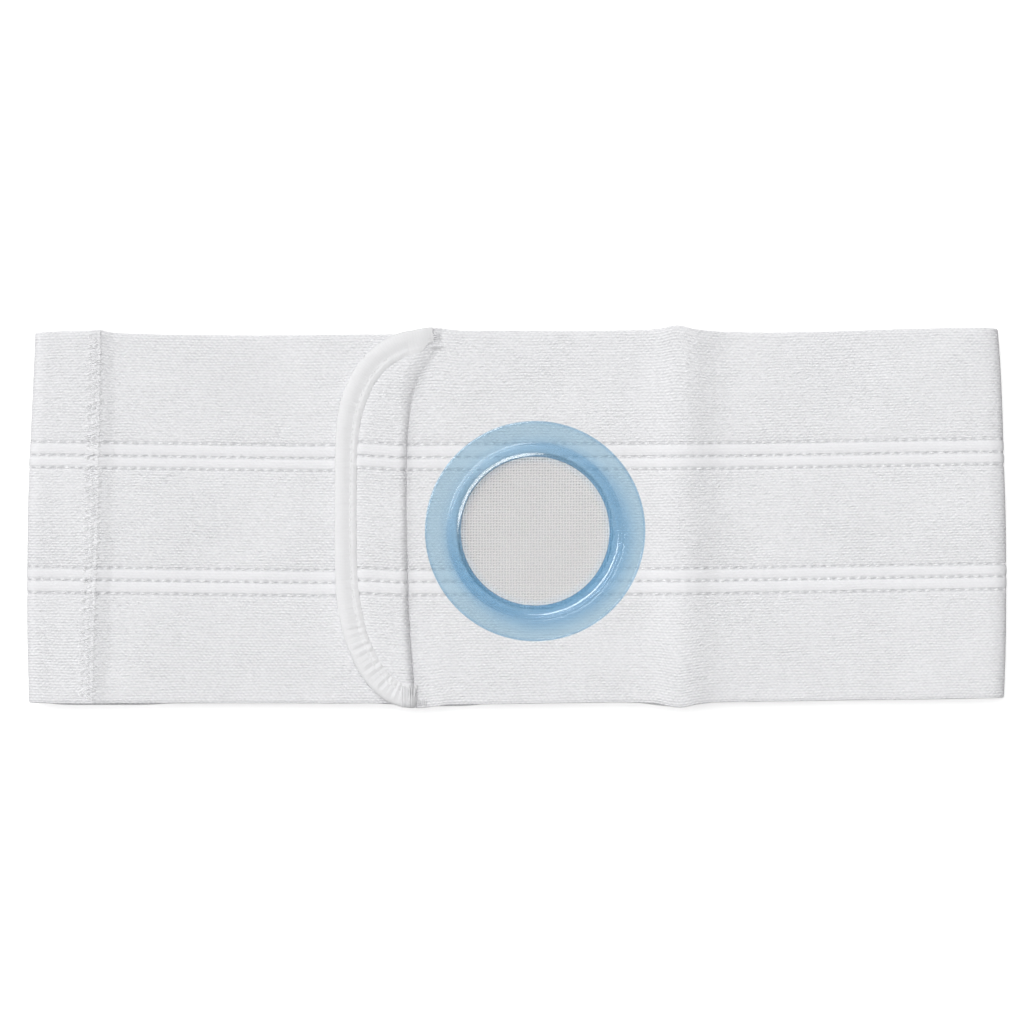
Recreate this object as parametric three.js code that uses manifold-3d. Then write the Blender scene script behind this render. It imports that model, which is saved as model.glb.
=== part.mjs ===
// Ostomy support belt, closed and lying flat.
// Millimetres, +Z up. The belt lies in the XY plane: X runs along its length,
// Y across its width, and the floor is z = 0. The origin is the centre of the footprint.
//
// The belt is a flattened loop of wide elastic. One long elastic starts at a lap seam
// on the left of the front, goes round the left fold, along the back, round the right
// fold, and along the front to a D-shaped flap. A shorter elastic runs from the seam
// to a plain end under that flap.

import * as THREE from 'three';
import { mergeVertices } from 'three/addons/utils/BufferGeometryUtils.js';
import Module from 'manifold-3d';

const wasm = await Module();
wasm.setup();

// ---------------------------------------------------------------- driving dimensions
const BELT_WIDTH = 152.4;        // three 2 inch strips, edge to edge
const ELASTIC_T = 1.6;           // thickness of the elastic
const CLEAR = 0.3;               // clearance between touching pieces
const LOOP_GAP = 6.0;            // height inside the flattened loop
const FOLD_X = 198.4;            // centre of each end fold
const FOLD_R = (LOOP_GAP + ELASTIC_T) / 2;   // fold radius at mid thickness
const BACK_MID = ELASTIC_T / 2;              // mid height of the back
const FRONT_MID = BACK_MID + 2 * FOLD_R;     // mid height of the plain front

const LAP_X = -172.4;            // free edge of the lap seam at mid width
const LAP_WIDTH = 7.8;           // overlap of the two elastics
const LAP_RAMP = 7.6;            // length over which the upper elastic climbs
const LAP_MID = FRONT_MID + ELASTIC_T + CLEAR;

const SIDE_END_X = -51.5;        // plain hidden end of the side elastic

const PANEL_MID = 8.8;           // mid height of the flat panel under the ring
const FLAP_BASE = 11.35;         // mid height of the flap along its binding
const FLAP_CROWN = 0.35;         // extra height over the hook patch
const BOUND_T = 1.1;             // elastic thickness inside the binding

const BINDING_WIDTH = 7.7;       // visible width of the binding
const BINDING_WALL = 1.0;        // thickness of the binding tape
const BINDING_SLOT = BOUND_T / 2 + CLEAR;    // half height of the slot it leaves
const BINDING_HALF = BINDING_SLOT + BINDING_WALL;

const HOOK_T = 1.05;             // thickness of the hook patch
const HOOK_INSET = 11.8;         // from the flap outline to the hook patch

const RING_X = 7.46;             // centre of the opening
const RING_Y = -5.81;
const RING_HOLE_R = 30.3;        // clear radius of the opening
const RING_COLLAR_R = 32.0;      // outer radius of the collar in the elastic
const RING_FLANGE_R = 45.3;      // outer radius of the flange
const ELASTIC_HOLE_R = RING_COLLAR_R + CLEAR;

const NET_T = 1.0;               // thickness of the net panel
const NET_X0 = -42.0, NET_X1 = 70.0, NET_HALF_WIDTH = 74.0;

// ------------------------------------------------------------------------- tables
// Upper and lower edge of the front, as seen from above.
const TOP_EDGE = [
  { x: -199, y: 76.0 }, { x: -190, y: 76.4 }, { x: -179, y: 76.4 }, { x: -174, y: 77.2 },
  { x: -169, y: 76.0 }, { x: -162, y: 75.6 }, { x: -140, y: 75.0 }, { x: -105, y: 74.8 },
  { x: -62, y: 75.2 }, { x: -43, y: 76.0 }, { x: -39, y: 77.2 }, { x: -35, y: 78.0 },
  { x: -30, y: 77.6 }, { x: -25, y: 76.8 }, { x: 19, y: 76.6 }, { x: 53, y: 77.0 },
  { x: 60, y: 77.6 }, { x: 65, y: 78.9 }, { x: 69, y: 78.4 }, { x: 73, y: 77.2 },
  { x: 83, y: 76.4 }, { x: 103, y: 76.0 }, { x: 127, y: 76.4 }, { x: 152, y: 77.2 },
  { x: 182, y: 78.0 }, { x: 199, y: 77.9 },
];
const BOTTOM_EDGE = [
  { x: -199, y: -76.4 }, { x: -190, y: -76.8 }, { x: -150, y: -76.8 }, { x: -85, y: -76.8 },
  { x: -52, y: -77.2 }, { x: -46, y: -78.2 }, { x: -41, y: -78.9 }, { x: -35, y: -78.2 },
  { x: -28, y: -77.4 }, { x: 15, y: -76.8 }, { x: 40, y: -76.4 }, { x: 58, y: -76.8 },
  { x: 63, y: -78.0 }, { x: 68, y: -78.5 }, { x: 73, y: -77.2 }, { x: 80, y: -76.4 },
  { x: 110, y: -76.0 }, { x: 135, y: -75.6 }, { x: 170, y: -75.2 }, { x: 199, y: -74.6 },
];
// Lower edge of the back, which shows a little under the front in three places.
const BACK_BOTTOM_EDGE = [
  { x: -199, y: -76.6 }, { x: -190, y: -77.4 }, { x: -155, y: -77.4 }, { x: -140, y: -76.4 },
  { x: -60, y: -76.6 }, { x: -40, y: -78.3 }, { x: -20, y: -77.9 }, { x: -8, y: -76.4 },
  { x: 50, y: -76.2 }, { x: 62, y: -78.4 }, { x: 70, y: -78.5 }, { x: 80, y: -76.0 },
  { x: 199, y: -74.8 },
];
const BACK_TOP_EDGE = [
  { x: -199, y: 75.8 }, { x: -100, y: 74.4 }, { x: 60, y: 75.8 }, { x: 199, y: 77.4 },
];
// How far each folded end stands short of its furthest point, across the width.
const END_BOW = [
  { y: -77, left: 0.9, right: 1.2 }, { y: -66, left: 0.7, right: 0.7 },
  { y: -50, left: 0.2, right: 0.2 }, { y: -20, left: 0.2, right: 0.1 },
  { y: 5, left: 0.5, right: 0.4 }, { y: 25, left: 1.2, right: 1.2 },
  { y: 45, left: 2.2, right: 1.7 }, { y: 62, left: 3.0, right: 2.4 },
  { y: 78, left: 3.6, right: 3.7 },
];
const END_X = 202.4;             // furthest reach of each folded end
// Sideways drift of the lap seam across the width.
const LAP_DRIFT = [
  { y: -78, dx: -2.9 }, { y: 0, dx: 0.0 }, { y: 78, dx: -0.6 },
];
// Height of the front along X, right of the crease: flat under the ring, a soft ridge,
// then down to the plain level.
const PANEL_HEIGHT = [
  { x: 54.0, z: PANEL_MID }, { x: 58.0, z: PANEL_MID + 0.30 }, { x: 62.0, z: PANEL_MID + 0.95 },
  { x: 65.5, z: PANEL_MID + 1.50 }, { x: 68.5, z: PANEL_MID + 1.70 }, { x: 72.0, z: PANEL_MID + 1.50 },
  { x: 77.0, z: PANEL_MID + 0.85 }, { x: 83.0, z: PANEL_MID + 0.15 }, { x: 89.0, z: PANEL_MID - 0.25 },
  { x: 96.0, z: FRONT_MID },
];
// The crease where the flap steps down to the panel: its place and half width.
const CREASE = [
  { y: -79, x: -38.9, half: 1.8 }, { y: -72, x: -39.0, half: 1.8 }, { y: -66, x: -42.4, half: 1.8 },
  { y: -60, x: -44.7, half: 2.0 }, { y: -45, x: -46.6, half: 2.1 }, { y: -30, x: -47.7, half: 2.1 },
  { y: 24, x: -48.0, half: 2.1 }, { y: 40, x: -46.8, half: 2.6 }, { y: 50, x: -44.2, half: 3.3 },
  { y: 60, x: -39.6, half: 4.0 }, { y: 69, x: -32.8, half: 4.2 }, { y: 79, x: -30.2, half: 4.2 },
];
// Outer outline of the bound flap, from its upper end round to its lower end.
const FLAP_OUTLINE = [
  { x: -34.8, y: 78.0 }, { x: -43.5, y: 76.0 }, { x: -52.9, y: 70.2 }, { x: -63.6, y: 63.2 },
  { x: -70.6, y: 51.3 }, { x: -73.3, y: 40.2 }, { x: -73.8, y: 25.7 }, { x: -73.8, y: -24.1 },
  { x: -73.4, y: -35.6 }, { x: -70.8, y: -51.7 }, { x: -66.5, y: -61.6 }, { x: -60.8, y: -69.4 },
  { x: -53.6, y: -75.4 }, { x: -47.6, y: -78.1 }, { x: -42.2, y: -78.6 },
];
// Half section of the ring, from the foot of the collar round its outside to the lip and back.
// r is the radius, h the height over the elastic.
const RING_SECTION = [
  { r: 31.0, h: -1.75 }, { r: RING_COLLAR_R, h: -1.75 }, { r: RING_COLLAR_R, h: CLEAR },
  { r: 45.0, h: CLEAR }, { r: RING_FLANGE_R, h: 0.65 }, { r: 45.0, h: 1.1 },
  { r: 37.1, h: 1.1 }, { r: 36.6, h: 1.65 }, { r: 35.9, h: 1.85 }, { r: 35.2, h: 2.7 },
  { r: 34.2, h: 3.15 }, { r: 32.6, h: 3.3 }, { r: 31.3, h: 2.95 }, { r: 30.5, h: 2.2 },
  { r: RING_HOLE_R, h: 1.2 }, { r: 30.5, h: 0.0 },
];

// ------------------------------------------------------------------------ helpers
// Reads column `out` of a table at value `at` of column `key`, held past its ends.
function read(table, key, at, out) {
  if (at <= table[0][key]) return table[0][out];
  for (let i = 1; i < table.length; i++) {
    const a = table[i - 1], b = table[i];
    if (at <= b[key]) return a[out] + (b[out] - a[out]) * (at - a[key]) / (b[key] - a[key]);
  }
  return table[table.length - 1][out];
}
const clamp01 = (q) => Math.min(1, Math.max(0, q));
const ease = (q) => { const c = clamp01(q); return c * c * (3 - 2 * c); };

// Carries a coordinate across the nominal width to the real edges: the middle of the
// belt stays as it is and only the outer 28 mm stretch to meet the edge.
function spread(v, low, high) {
  const half = BELT_WIDTH / 2;
  const w = clamp01((Math.abs(v) - (half - 28)) / 28);
  return v + w * w * (v > 0 ? high - half : low + half);
}
const frontY = (x, v) => spread(v, read(BOTTOM_EDGE, 'x', x, 'y'), read(TOP_EDGE, 'x', x, 'y'));
const backY = (x, v) => spread(v, read(BACK_BOTTOM_EDGE, 'x', x, 'y'), read(BACK_TOP_EDGE, 'x', x, 'y'));

// Shift along X that bows the folded ends.
function bow(x, y) {
  const end = END_X - (FOLD_X + FOLD_R + ELASTIC_T / 2);
  const w = ease((Math.abs(x) - 150) / (FOLD_X - 150));
  return x < 0 ? w * (read(END_BOW, 'y', y, 'left') - end) : w * (end - read(END_BOW, 'y', y, 'right'));
}

const flapCurve = new THREE.CatmullRomCurve3(
  FLAP_OUTLINE.map((p) => new THREE.Vector3(p.x, p.y, 0)), false, 'centripetal');
const FLAP_STEPS = 56;
const flapPath = flapCurve.getSpacedPoints(FLAP_STEPS);
// Unit normal of the flap outline, pointing into the flap.
const flapInward = flapPath.map((p, i) => {
  const a = flapPath[Math.max(0, i - 1)], b = flapPath[Math.min(FLAP_STEPS, i + 1)];
  const t = b.clone().sub(a).normalize();
  return new THREE.Vector3(-t.y, t.x, 0);
});
// Distance from a point to the flap outline.
function flapDistance(x, y) {
  let best = 1e9;
  for (let i = 0; i < FLAP_STEPS; i++) {
    const a = flapPath[i], b = flapPath[i + 1];
    const dx = b.x - a.x, dy = b.y - a.y;
    const q = clamp01(((x - a.x) * dx + (y - a.y) * dy) / (dx * dx + dy * dy));
    best = Math.min(best, Math.hypot(x - a.x - q * dx, y - a.y - q * dy));
  }
  return best;
}

// Mid height of the front elastic, from the right fold to the flap.
function frontHeight(x, y) {
  if (x >= 54) return read(PANEL_HEIGHT, 'x', x, 'z');
  const cx = read(CREASE, 'y', y, 'x'), half = read(CREASE, 'y', y, 'half');
  const up = ease((cx + half - x) / (2 * half));
  const crown = FLAP_CROWN * ease((flapDistance(x, y) - 9.2) / 2.4);
  return PANEL_MID + up * (FLAP_BASE + crown - PANEL_MID);
}
// Thickness of the front elastic, pressed thinner inside the binding.
function frontThickness(x, y) {
  if (x > -30) return ELASTIC_T;
  return BOUND_T + (ELASTIC_T - BOUND_T) * ease((flapDistance(x, y) - 8.8) / 2.2);
}
// Unit normal of a height field.
function heightNormal(height, x, y) {
  const e = 0.05;
  return new THREE.Vector3(
    (height(x - e, y) - height(x + e, y)) / (2 * e),
    (height(x, y - e) - height(x, y + e)) / (2 * e), 1).normalize();
}
// Mid height of the long elastic near the lap seam.
const lapHeight = (x, y) =>
  FRONT_MID + (LAP_MID - FRONT_MID)
    * ease((x - (LAP_X + read(LAP_DRIFT, 'y', y, 'dx') - LAP_WIDTH - 1.4 - LAP_RAMP)) / LAP_RAMP);

// A closed wall of cloth on a grid of surface points. at(i, j) gives the mid point,
// the outward normal and the thickness.
function clothWall(rows, cols, at) {
  const pos = [];
  for (let i = 0; i < rows; i++) {
    for (let j = 0; j < cols; j++) {
      const { p, n, t } = at(i, j);
      const o = p.clone().addScaledVector(n, t / 2), q = p.clone().addScaledVector(n, -t / 2);
      pos.push(o.x, o.y, o.z, q.x, q.y, q.z);
    }
  }
  const outer = (i, j) => 2 * (i * cols + j), inner = (i, j) => 2 * (i * cols + j) + 1;
  const tri = [];
  const quad = (a, b, c, d) => tri.push(a, b, c, a, c, d);
  for (let i = 0; i + 1 < rows; i++) {
    for (let j = 0; j + 1 < cols; j++) {
      quad(outer(i, j), outer(i, j + 1), outer(i + 1, j + 1), outer(i + 1, j));
      quad(inner(i, j), inner(i + 1, j), inner(i + 1, j + 1), inner(i, j + 1));
    }
    quad(outer(i, 0), outer(i + 1, 0), inner(i + 1, 0), inner(i, 0));
    quad(outer(i, cols - 1), inner(i, cols - 1), inner(i + 1, cols - 1), outer(i + 1, cols - 1));
  }
  for (let j = 0; j + 1 < cols; j++) {
    quad(outer(0, j), inner(0, j), inner(0, j + 1), outer(0, j + 1));
    quad(outer(rows - 1, j), outer(rows - 1, j + 1), inner(rows - 1, j + 1), inner(rows - 1, j));
  }
  return facingOut(pos, tri);
}

// Makes a geometry from points and triangles, turned so that its faces point out.
function facingOut(pos, tri) {
  let volume = 0;
  const v = (k) => new THREE.Vector3(pos[3 * k], pos[3 * k + 1], pos[3 * k + 2]);
  for (let k = 0; k < tri.length; k += 3) {
    volume += v(tri[k]).dot(v(tri[k + 1]).cross(v(tri[k + 2])));
  }
  if (volume < 0) for (let k = 0; k < tri.length; k += 3) [tri[k], tri[k + 1]] = [tri[k + 1], tri[k]];
  const g = new THREE.BufferGeometry();
  g.setAttribute('position', new THREE.Float32BufferAttribute(pos, 3));
  g.setIndex(tri);
  return g;
}

// Turns a closed geometry into a manifold solid, and back.
function toSolid(geometry) {
  let g = geometry.clone();
  g.deleteAttribute('normal');
  g.deleteAttribute('uv');
  g = mergeVertices(g, 1e-4);
  return new wasm.Manifold(new wasm.Mesh({
    numProp: 3,
    vertProperties: new Float32Array(g.attributes.position.array),
    triVerts: new Uint32Array(g.index.array),
  }));
}
function toGeometry(solid) {
  const m = solid.getMesh();
  const g = new THREE.BufferGeometry();
  g.setAttribute('position', new THREE.Float32BufferAttribute(Float32Array.from(m.vertProperties), 3));
  g.setIndex(Array.from(m.triVerts));
  return g;
}

// Places across the width where the grids have a line.
const ACROSS = [-76.2, -73.5, -70.5, -67.5, -63, -55, -42, -28, 0, 24, 36, 46, 54, 60, 66, 71, 76.2];

// --------------------------------------------------------------- the long elastic
const beltStations = [];
// Lap seam end, down to the plain level.
[0, 3.9, 7.8, 9.2, 11.1, 13, 14.9, 16.8].forEach((d) => beltStations.push({ zone: 'lap', d }));
beltStations.push({ zone: 'left', x: -192 });
const FOLD_STEPS = 8;
for (let k = 0; k <= FOLD_STEPS; k++) beltStations.push({ zone: 'fold', x: -FOLD_X, angle: Math.PI / 2 + Math.PI * k / FOLD_STEPS });
[-190, -155, -140, -100, -60, -40, -20, -8, 20, 50, 62, 70, 80, 130, 175].forEach((x) => beltStations.push({ zone: 'back', x }));
for (let k = 0; k <= FOLD_STEPS; k++) beltStations.push({ zone: 'fold', x: FOLD_X, angle: -Math.PI / 2 + Math.PI * k / FOLD_STEPS });
[190, 182, 166, 152, 127, 110, 96, 92.5, 89, 86, 83, 80, 77, 74.5, 72, 70, 68.5, 67, 65.5, 63.7, 62, 60, 58, 56, 54, 40, 19, -8]
  .forEach((x) => beltStations.push({ zone: 'front', x }));
// Across the crease, on lines that follow it.
[1.15, 1, 0.75, 0.5, 0.25, 0, -0.25, -0.5, -0.75, -1, -1.2].forEach((k) => beltStations.push({ zone: 'crease', k }));
[0.2, 0.4, 0.6, 0.8, 1].forEach((q) => beltStations.push({ zone: 'flap', q }));

function beltPoint(station, v) {
  if (station.zone === 'fold') {
    const nx = Math.cos(station.angle), nz = Math.sin(station.angle);
    const onFront = (nz + 1) / 2;
    const y = backY(station.x, v) * (1 - onFront) + frontY(station.x, v) * onFront;
    return {
      p: new THREE.Vector3(station.x + bow(station.x, y) + FOLD_R * nx, y, BACK_MID + FOLD_R + FOLD_R * nz),
      n: new THREE.Vector3(nx, 0, nz), t: ELASTIC_T,
    };
  }
  if (station.zone === 'back') {
    const y = backY(station.x, v);
    return { p: new THREE.Vector3(station.x + bow(station.x, y), y, BACK_MID), n: new THREE.Vector3(0, 0, -1), t: ELASTIC_T };
  }
  if (station.zone === 'lap' || station.zone === 'left') {
    const x0 = station.zone === 'left' ? station.x : LAP_X - station.d;
    const y = frontY(x0, v);
    const x = station.zone === 'left' ? x0 : x0 + read(LAP_DRIFT, 'y', y, 'dx');
    return { p: new THREE.Vector3(x + bow(x, y), y, lapHeight(x, y)), n: heightNormal(lapHeight, x, y), t: ELASTIC_T };
  }
  // Front panel, crease and flap.
  const cx = read(CREASE, 'y', v, 'x'), half = read(CREASE, 'y', v, 'half');
  let x = station.x;
  if (station.zone === 'crease') x = cx + station.k * half;
  if (station.zone === 'flap') { const from = cx - 1.2 * half; x = from + station.q * (-74.5 - from); }
  const y = frontY(x, v);
  return {
    p: new THREE.Vector3(x + bow(x, y), y, frontHeight(x, y)),
    n: heightNormal(frontHeight, x, y), t: frontThickness(x, y),
  };
}
const beltWall = clothWall(beltStations.length, ACROSS.length,
  (i, j) => beltPoint(beltStations[i], ACROSS[j]));

// The round opening, cut through the front panel only.
const holeCutter = new THREE.CylinderGeometry(ELASTIC_HOLE_R, ELASTIC_HOLE_R, 8, 64);
holeCutter.rotateX(Math.PI / 2);
holeCutter.translate(RING_X, RING_Y, PANEL_MID);

// The curved end of the flap: everything outside the outline, moved in to where the
// elastic ends inside the binding.
const EDGE_INSET = BINDING_WALL + 0.6;
const flapCutShape = new THREE.Shape();
{
  const edge = flapPath.map((p, i) => p.clone().addScaledVector(flapInward[i], EDGE_INSET));
  const first = edge[0], last = edge[FLAP_STEPS];
  flapCutShape.moveTo(first.x + 1.2, 82);
  flapCutShape.lineTo(first.x + 1.2, first.y + 0.2);
  edge.forEach((p) => flapCutShape.lineTo(p.x, p.y));
  flapCutShape.lineTo(last.x + 1.2, last.y - 0.1);
  flapCutShape.lineTo(last.x + 1.2, -82);
  flapCutShape.lineTo(-80, -82);
  flapCutShape.lineTo(-80, 82);
  flapCutShape.closePath();
}
const flapCutter = new THREE.ExtrudeGeometry(flapCutShape, { depth: 10, bevelEnabled: false, curveSegments: 1 });
flapCutter.translate(0, 0, 6.2);

const beltSolid = toSolid(beltWall).subtract(toSolid(holeCutter)).subtract(toSolid(flapCutter));

// --------------------------------------------------------------- the side elastic
const sideRows = [0, 0.06, 0.12, 0.3, 0.5, 0.7, 0.85, 0.95, 1];
const sideWall = clothWall(sideRows.length, ACROSS.length, (i, j) => {
  const v = ACROSS[j];
  const start = LAP_X - LAP_WIDTH + read(LAP_DRIFT, 'y', v, 'dx');
  const x = start + sideRows[i] * (SIDE_END_X - start), y = frontY(Math.min(x, -60), v);
  return { p: new THREE.Vector3(x + bow(x, y), y, FRONT_MID), n: new THREE.Vector3(0, 0, 1), t: ELASTIC_T };
});

// ------------------------------------------------------------------- the binding
// A tape folded round the edge of the flap. Its section is in the plane across the
// outline: d is the distance in from the outline, h the height over mid thickness.
const BINDING_SECTION = [
  { d: BINDING_WIDTH, h: BINDING_SLOT }, { d: BINDING_WIDTH, h: BINDING_HALF - 0.35 },
  { d: BINDING_WIDTH - 0.7, h: BINDING_HALF }, { d: 4.6, h: BINDING_HALF - 0.1 },
  { d: 1.8, h: BINDING_HALF }, { d: 0.6, h: BINDING_HALF * 0.7 }, { d: 0, h: 0 },
  { d: 0.6, h: -BINDING_HALF * 0.7 }, { d: 1.8, h: -BINDING_HALF },
  { d: BINDING_WIDTH, h: -BINDING_HALF }, { d: BINDING_WIDTH, h: -BINDING_SLOT },
  { d: BINDING_WALL + 0.3, h: -BINDING_SLOT }, { d: BINDING_WALL + 0.3, h: BINDING_SLOT },
];
function sweptBinding() {
  const m = BINDING_SECTION.length, pos = [], tri = [];
  flapPath.forEach((p, i) => {
    for (const s of BINDING_SECTION) {
      const q = p.clone().addScaledVector(flapInward[i], s.d);
      q.z = frontHeight(q.x, q.y);
      q.addScaledVector(heightNormal(frontHeight, q.x, q.y), s.h);
      pos.push(q.x, q.y, q.z);
    }
  });
  for (let i = 0; i < FLAP_STEPS; i++) {
    for (let k = 0; k < m; k++) {
      const a = i * m + k, b = i * m + (k + 1) % m, c = a + m, d = b + m;
      tri.push(a, b, d, a, d, c);
    }
  }
  const flat = THREE.ShapeUtils.triangulateShape(BINDING_SECTION.map((s) => new THREE.Vector2(s.d, s.h)), []);
  for (const [a, b, c] of flat) {
    tri.push(a, c, b);
    tri.push(FLAP_STEPS * m + a, FLAP_STEPS * m + b, FLAP_STEPS * m + c);
  }
  return facingOut(pos, tri);
}

// ---------------------------------------------------------------- the hook patch
const hookShape = new THREE.Shape();
{
  const edge = flapPath.map((p, i) => p.clone().addScaledVector(flapInward[i], HOOK_INSET))
    .filter((p) => Math.abs(p.y + 2) < 58 && p.x < -52);
  const right = (y) => read(CREASE, 'y', y, 'x') - read(CREASE, 'y', y, 'half') - 1.0;
  const high = edge[0].y, low = edge[edge.length - 1].y;
  hookShape.moveTo(Math.min(right(high), -51.0), high);
  edge.forEach((p) => hookShape.lineTo(p.x, p.y));
  hookShape.lineTo(Math.min(right(low), -51.0), low);
  hookShape.closePath();
}
const hookPatch = new THREE.ExtrudeGeometry(hookShape, { depth: HOOK_T, bevelEnabled: false, curveSegments: 1 });
hookPatch.translate(0, 0, FRONT_MID + ELASTIC_T / 2 + CLEAR);

// ---------------------------------------------------------------------- the ring
const ringProfile = RING_SECTION.map((s) => new THREE.Vector2(s.r, s.h));
ringProfile.push(ringProfile[0].clone());
const openingRing = new THREE.LatheGeometry(ringProfile, 64);
openingRing.rotateX(Math.PI / 2);

// ----------------------------------------------------------------- the net panel
const netPanel = new THREE.BoxGeometry(NET_X1 - NET_X0, 2 * NET_HALF_WIDTH, NET_T, 6, 6, 1);

// --------------------------------------------------------------------- materials
const paint = (hex, roughness, more = {}) => new THREE.MeshStandardMaterial({ color: hex, roughness, metalness: 0, ...more });

function piece(name, geometry, material, x = 0, y = 0, z = 0) {
  const mesh = new THREE.Mesh(geometry, material);
  mesh.name = name;
  mesh.position.set(x, y, z);
  return mesh;
}

const belt = new THREE.Group();
belt.add(piece('belt_elastic', toGeometry(beltSolid), paint(0xe6e8ec, 0.85)));
belt.add(piece('side_elastic', sideWall, paint(0xe4e6ea, 0.85)));
belt.add(piece('flap_binding', sweptBinding(), paint(0xeceef0, 0.7)));
belt.add(piece('hook_patch', hookPatch, paint(0xd8dade, 0.9)));
belt.add(piece('opening_ring', openingRing, paint(0xa0c0d6, 0.2, { transparent: true, opacity: 0.8 }),
  RING_X, RING_Y, PANEL_MID + ELASTIC_T / 2));
belt.add(piece('net_panel', netPanel, paint(0xdcdddd, 0.9),
  (NET_X0 + NET_X1) / 2, -0.4, ELASTIC_T + CLEAR + NET_T / 2));

export default belt;
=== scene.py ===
import math

import bpy
import numpy as np
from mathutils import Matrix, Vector


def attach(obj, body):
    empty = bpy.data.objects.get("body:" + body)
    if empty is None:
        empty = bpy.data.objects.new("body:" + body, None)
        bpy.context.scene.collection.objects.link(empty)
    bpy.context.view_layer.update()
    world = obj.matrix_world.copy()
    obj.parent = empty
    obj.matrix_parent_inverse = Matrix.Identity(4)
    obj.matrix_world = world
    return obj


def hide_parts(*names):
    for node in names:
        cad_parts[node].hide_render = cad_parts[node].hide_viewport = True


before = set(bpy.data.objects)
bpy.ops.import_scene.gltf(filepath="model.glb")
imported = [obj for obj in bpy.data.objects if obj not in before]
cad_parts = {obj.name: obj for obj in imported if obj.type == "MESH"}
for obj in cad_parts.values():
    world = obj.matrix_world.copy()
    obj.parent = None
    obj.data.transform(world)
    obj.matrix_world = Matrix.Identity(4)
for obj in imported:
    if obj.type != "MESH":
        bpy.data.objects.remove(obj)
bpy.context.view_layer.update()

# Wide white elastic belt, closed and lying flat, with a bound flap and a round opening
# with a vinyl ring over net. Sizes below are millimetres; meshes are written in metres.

MM = 0.001
rng = np.random.default_rng(7)

# ------------------------------------------------------------------ named sizes
HALF = 76.2              # half the belt's width
ELASTIC_T = 1.6
CLEAR = 0.3
LOOP_GAP = 6.0
REACH = 202.2            # how far the middle of the cloth reaches at each fold
BACK_MID = 1.05
FRONT_MID = 8.4
LAP_X, LAP_WIDTH = -172.4, 7.8
LAP_MID = FRONT_MID + ELASTIC_T + CLEAR
LAP_LIFT = 0.1           # how far the seam stands above the plain level
SIDE_END_X = -47.3
PANEL_MID = 8.8
FLAP_BASE, FLAP_CROWN, BOUND_T = 11.35, 0.35, 1.1
BINDING_WIDTH = 8.5
EDGE_INSET = 1.6
RING_X, RING_Y = 7.46, -5.81
RING_TOP = PANEL_MID + ELASTIC_T / 2
HOLE_R = 32.3
NET_X0, NET_X1, NET_Y, NET_HALF = -42.0, 70.0, -0.4, 74.0
NET_Z = 2.4

ROWS_V = (-31.0, -25.6, -20.5, 20.5, 25.6, 31.0)   # stitch rows across the width
STITCH = 4.03                                      # stitch length
RIB = 1.15                                         # rib pitch of the weave
KNOT = 1.8                                         # pitch of the weave along a rib

# ---------------------------------------------------------------------- tables
TOP_EDGE = [(-199, 76.0), (-190, 76.4), (-179, 76.4), (-174, 77.2), (-169, 76.0), (-162, 75.6),
            (-140, 75.0), (-105, 74.8), (-62, 75.2), (-43, 76.0), (-39, 77.2), (-35, 78.0),
            (-30, 77.6), (-25, 76.8), (19, 76.6), (53, 77.0), (60, 77.6), (65, 78.9),
            (69, 78.4), (73, 77.2), (83, 76.4), (103, 76.0), (127, 76.4), (152, 77.2),
            (182, 78.0), (199, 77.9)]
BOTTOM_EDGE = [(-199, -76.4), (-190, -76.8), (-150, -76.8), (-85, -76.8), (-52, -77.2),
               (-46, -78.2), (-41, -78.9), (-35, -78.2), (-28, -77.4), (15, -76.8), (40, -76.4),
               (58, -76.8), (63, -78.0), (68, -78.5), (73, -77.2), (80, -76.4), (110, -76.0),
               (135, -75.6), (170, -75.2), (199, -74.6)]
BACK_BOTTOM = [(-199, -76.9), (-190, -78.0), (-155, -78.0), (-140, -77.2), (-90, -77.0), (-60, -77.2),
               (-40, -78.6), (-20, -78.4), (-8, -77.0), (50, -76.9), (62, -78.7), (70, -78.7),
               (80, -76.0), (199, -74.8)]
BACK_TOP = [(-199, 75.8), (-100, 74.4), (60, 75.8), (199, 77.4)]
BOW_LEFT = [(-77, 0.9), (-66, 0.7), (-50, 0.2), (-20, 0.2), (5, 0.5), (25, 1.2), (45, 2.2),
            (62, 3.0), (78, 3.6)]
BOW_RIGHT = [(-77, 1.2), (-66, 0.7), (-50, 0.2), (-20, 0.1), (5, 0.4), (25, 1.2), (45, 1.7),
             (62, 2.4), (78, 3.7)]
LAP_DRIFT = [(-78, -2.9), (0, 0.0), (78, -0.6)]
ROW_DRIFT = [(-198, -0.1), (-77, -1.7), (-48, -1.2), (75, -0.8), (198, 1.2)]
# Mid height of the panel along X: flat under the ring, a soft ridge, then the plain level.
PANEL = [(30, 8.8), (46, 8.88), (53, 9.2), (57, 9.8), (60, 10.4), (63, 10.98), (66, 11.42),
         (69, 11.54), (72, 11.28), (76, 10.42), (80, 9.4), (84, 8.74), (88, 8.48), (92, 8.4),
         (97, 8.38), (110, 8.4)]
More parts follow.
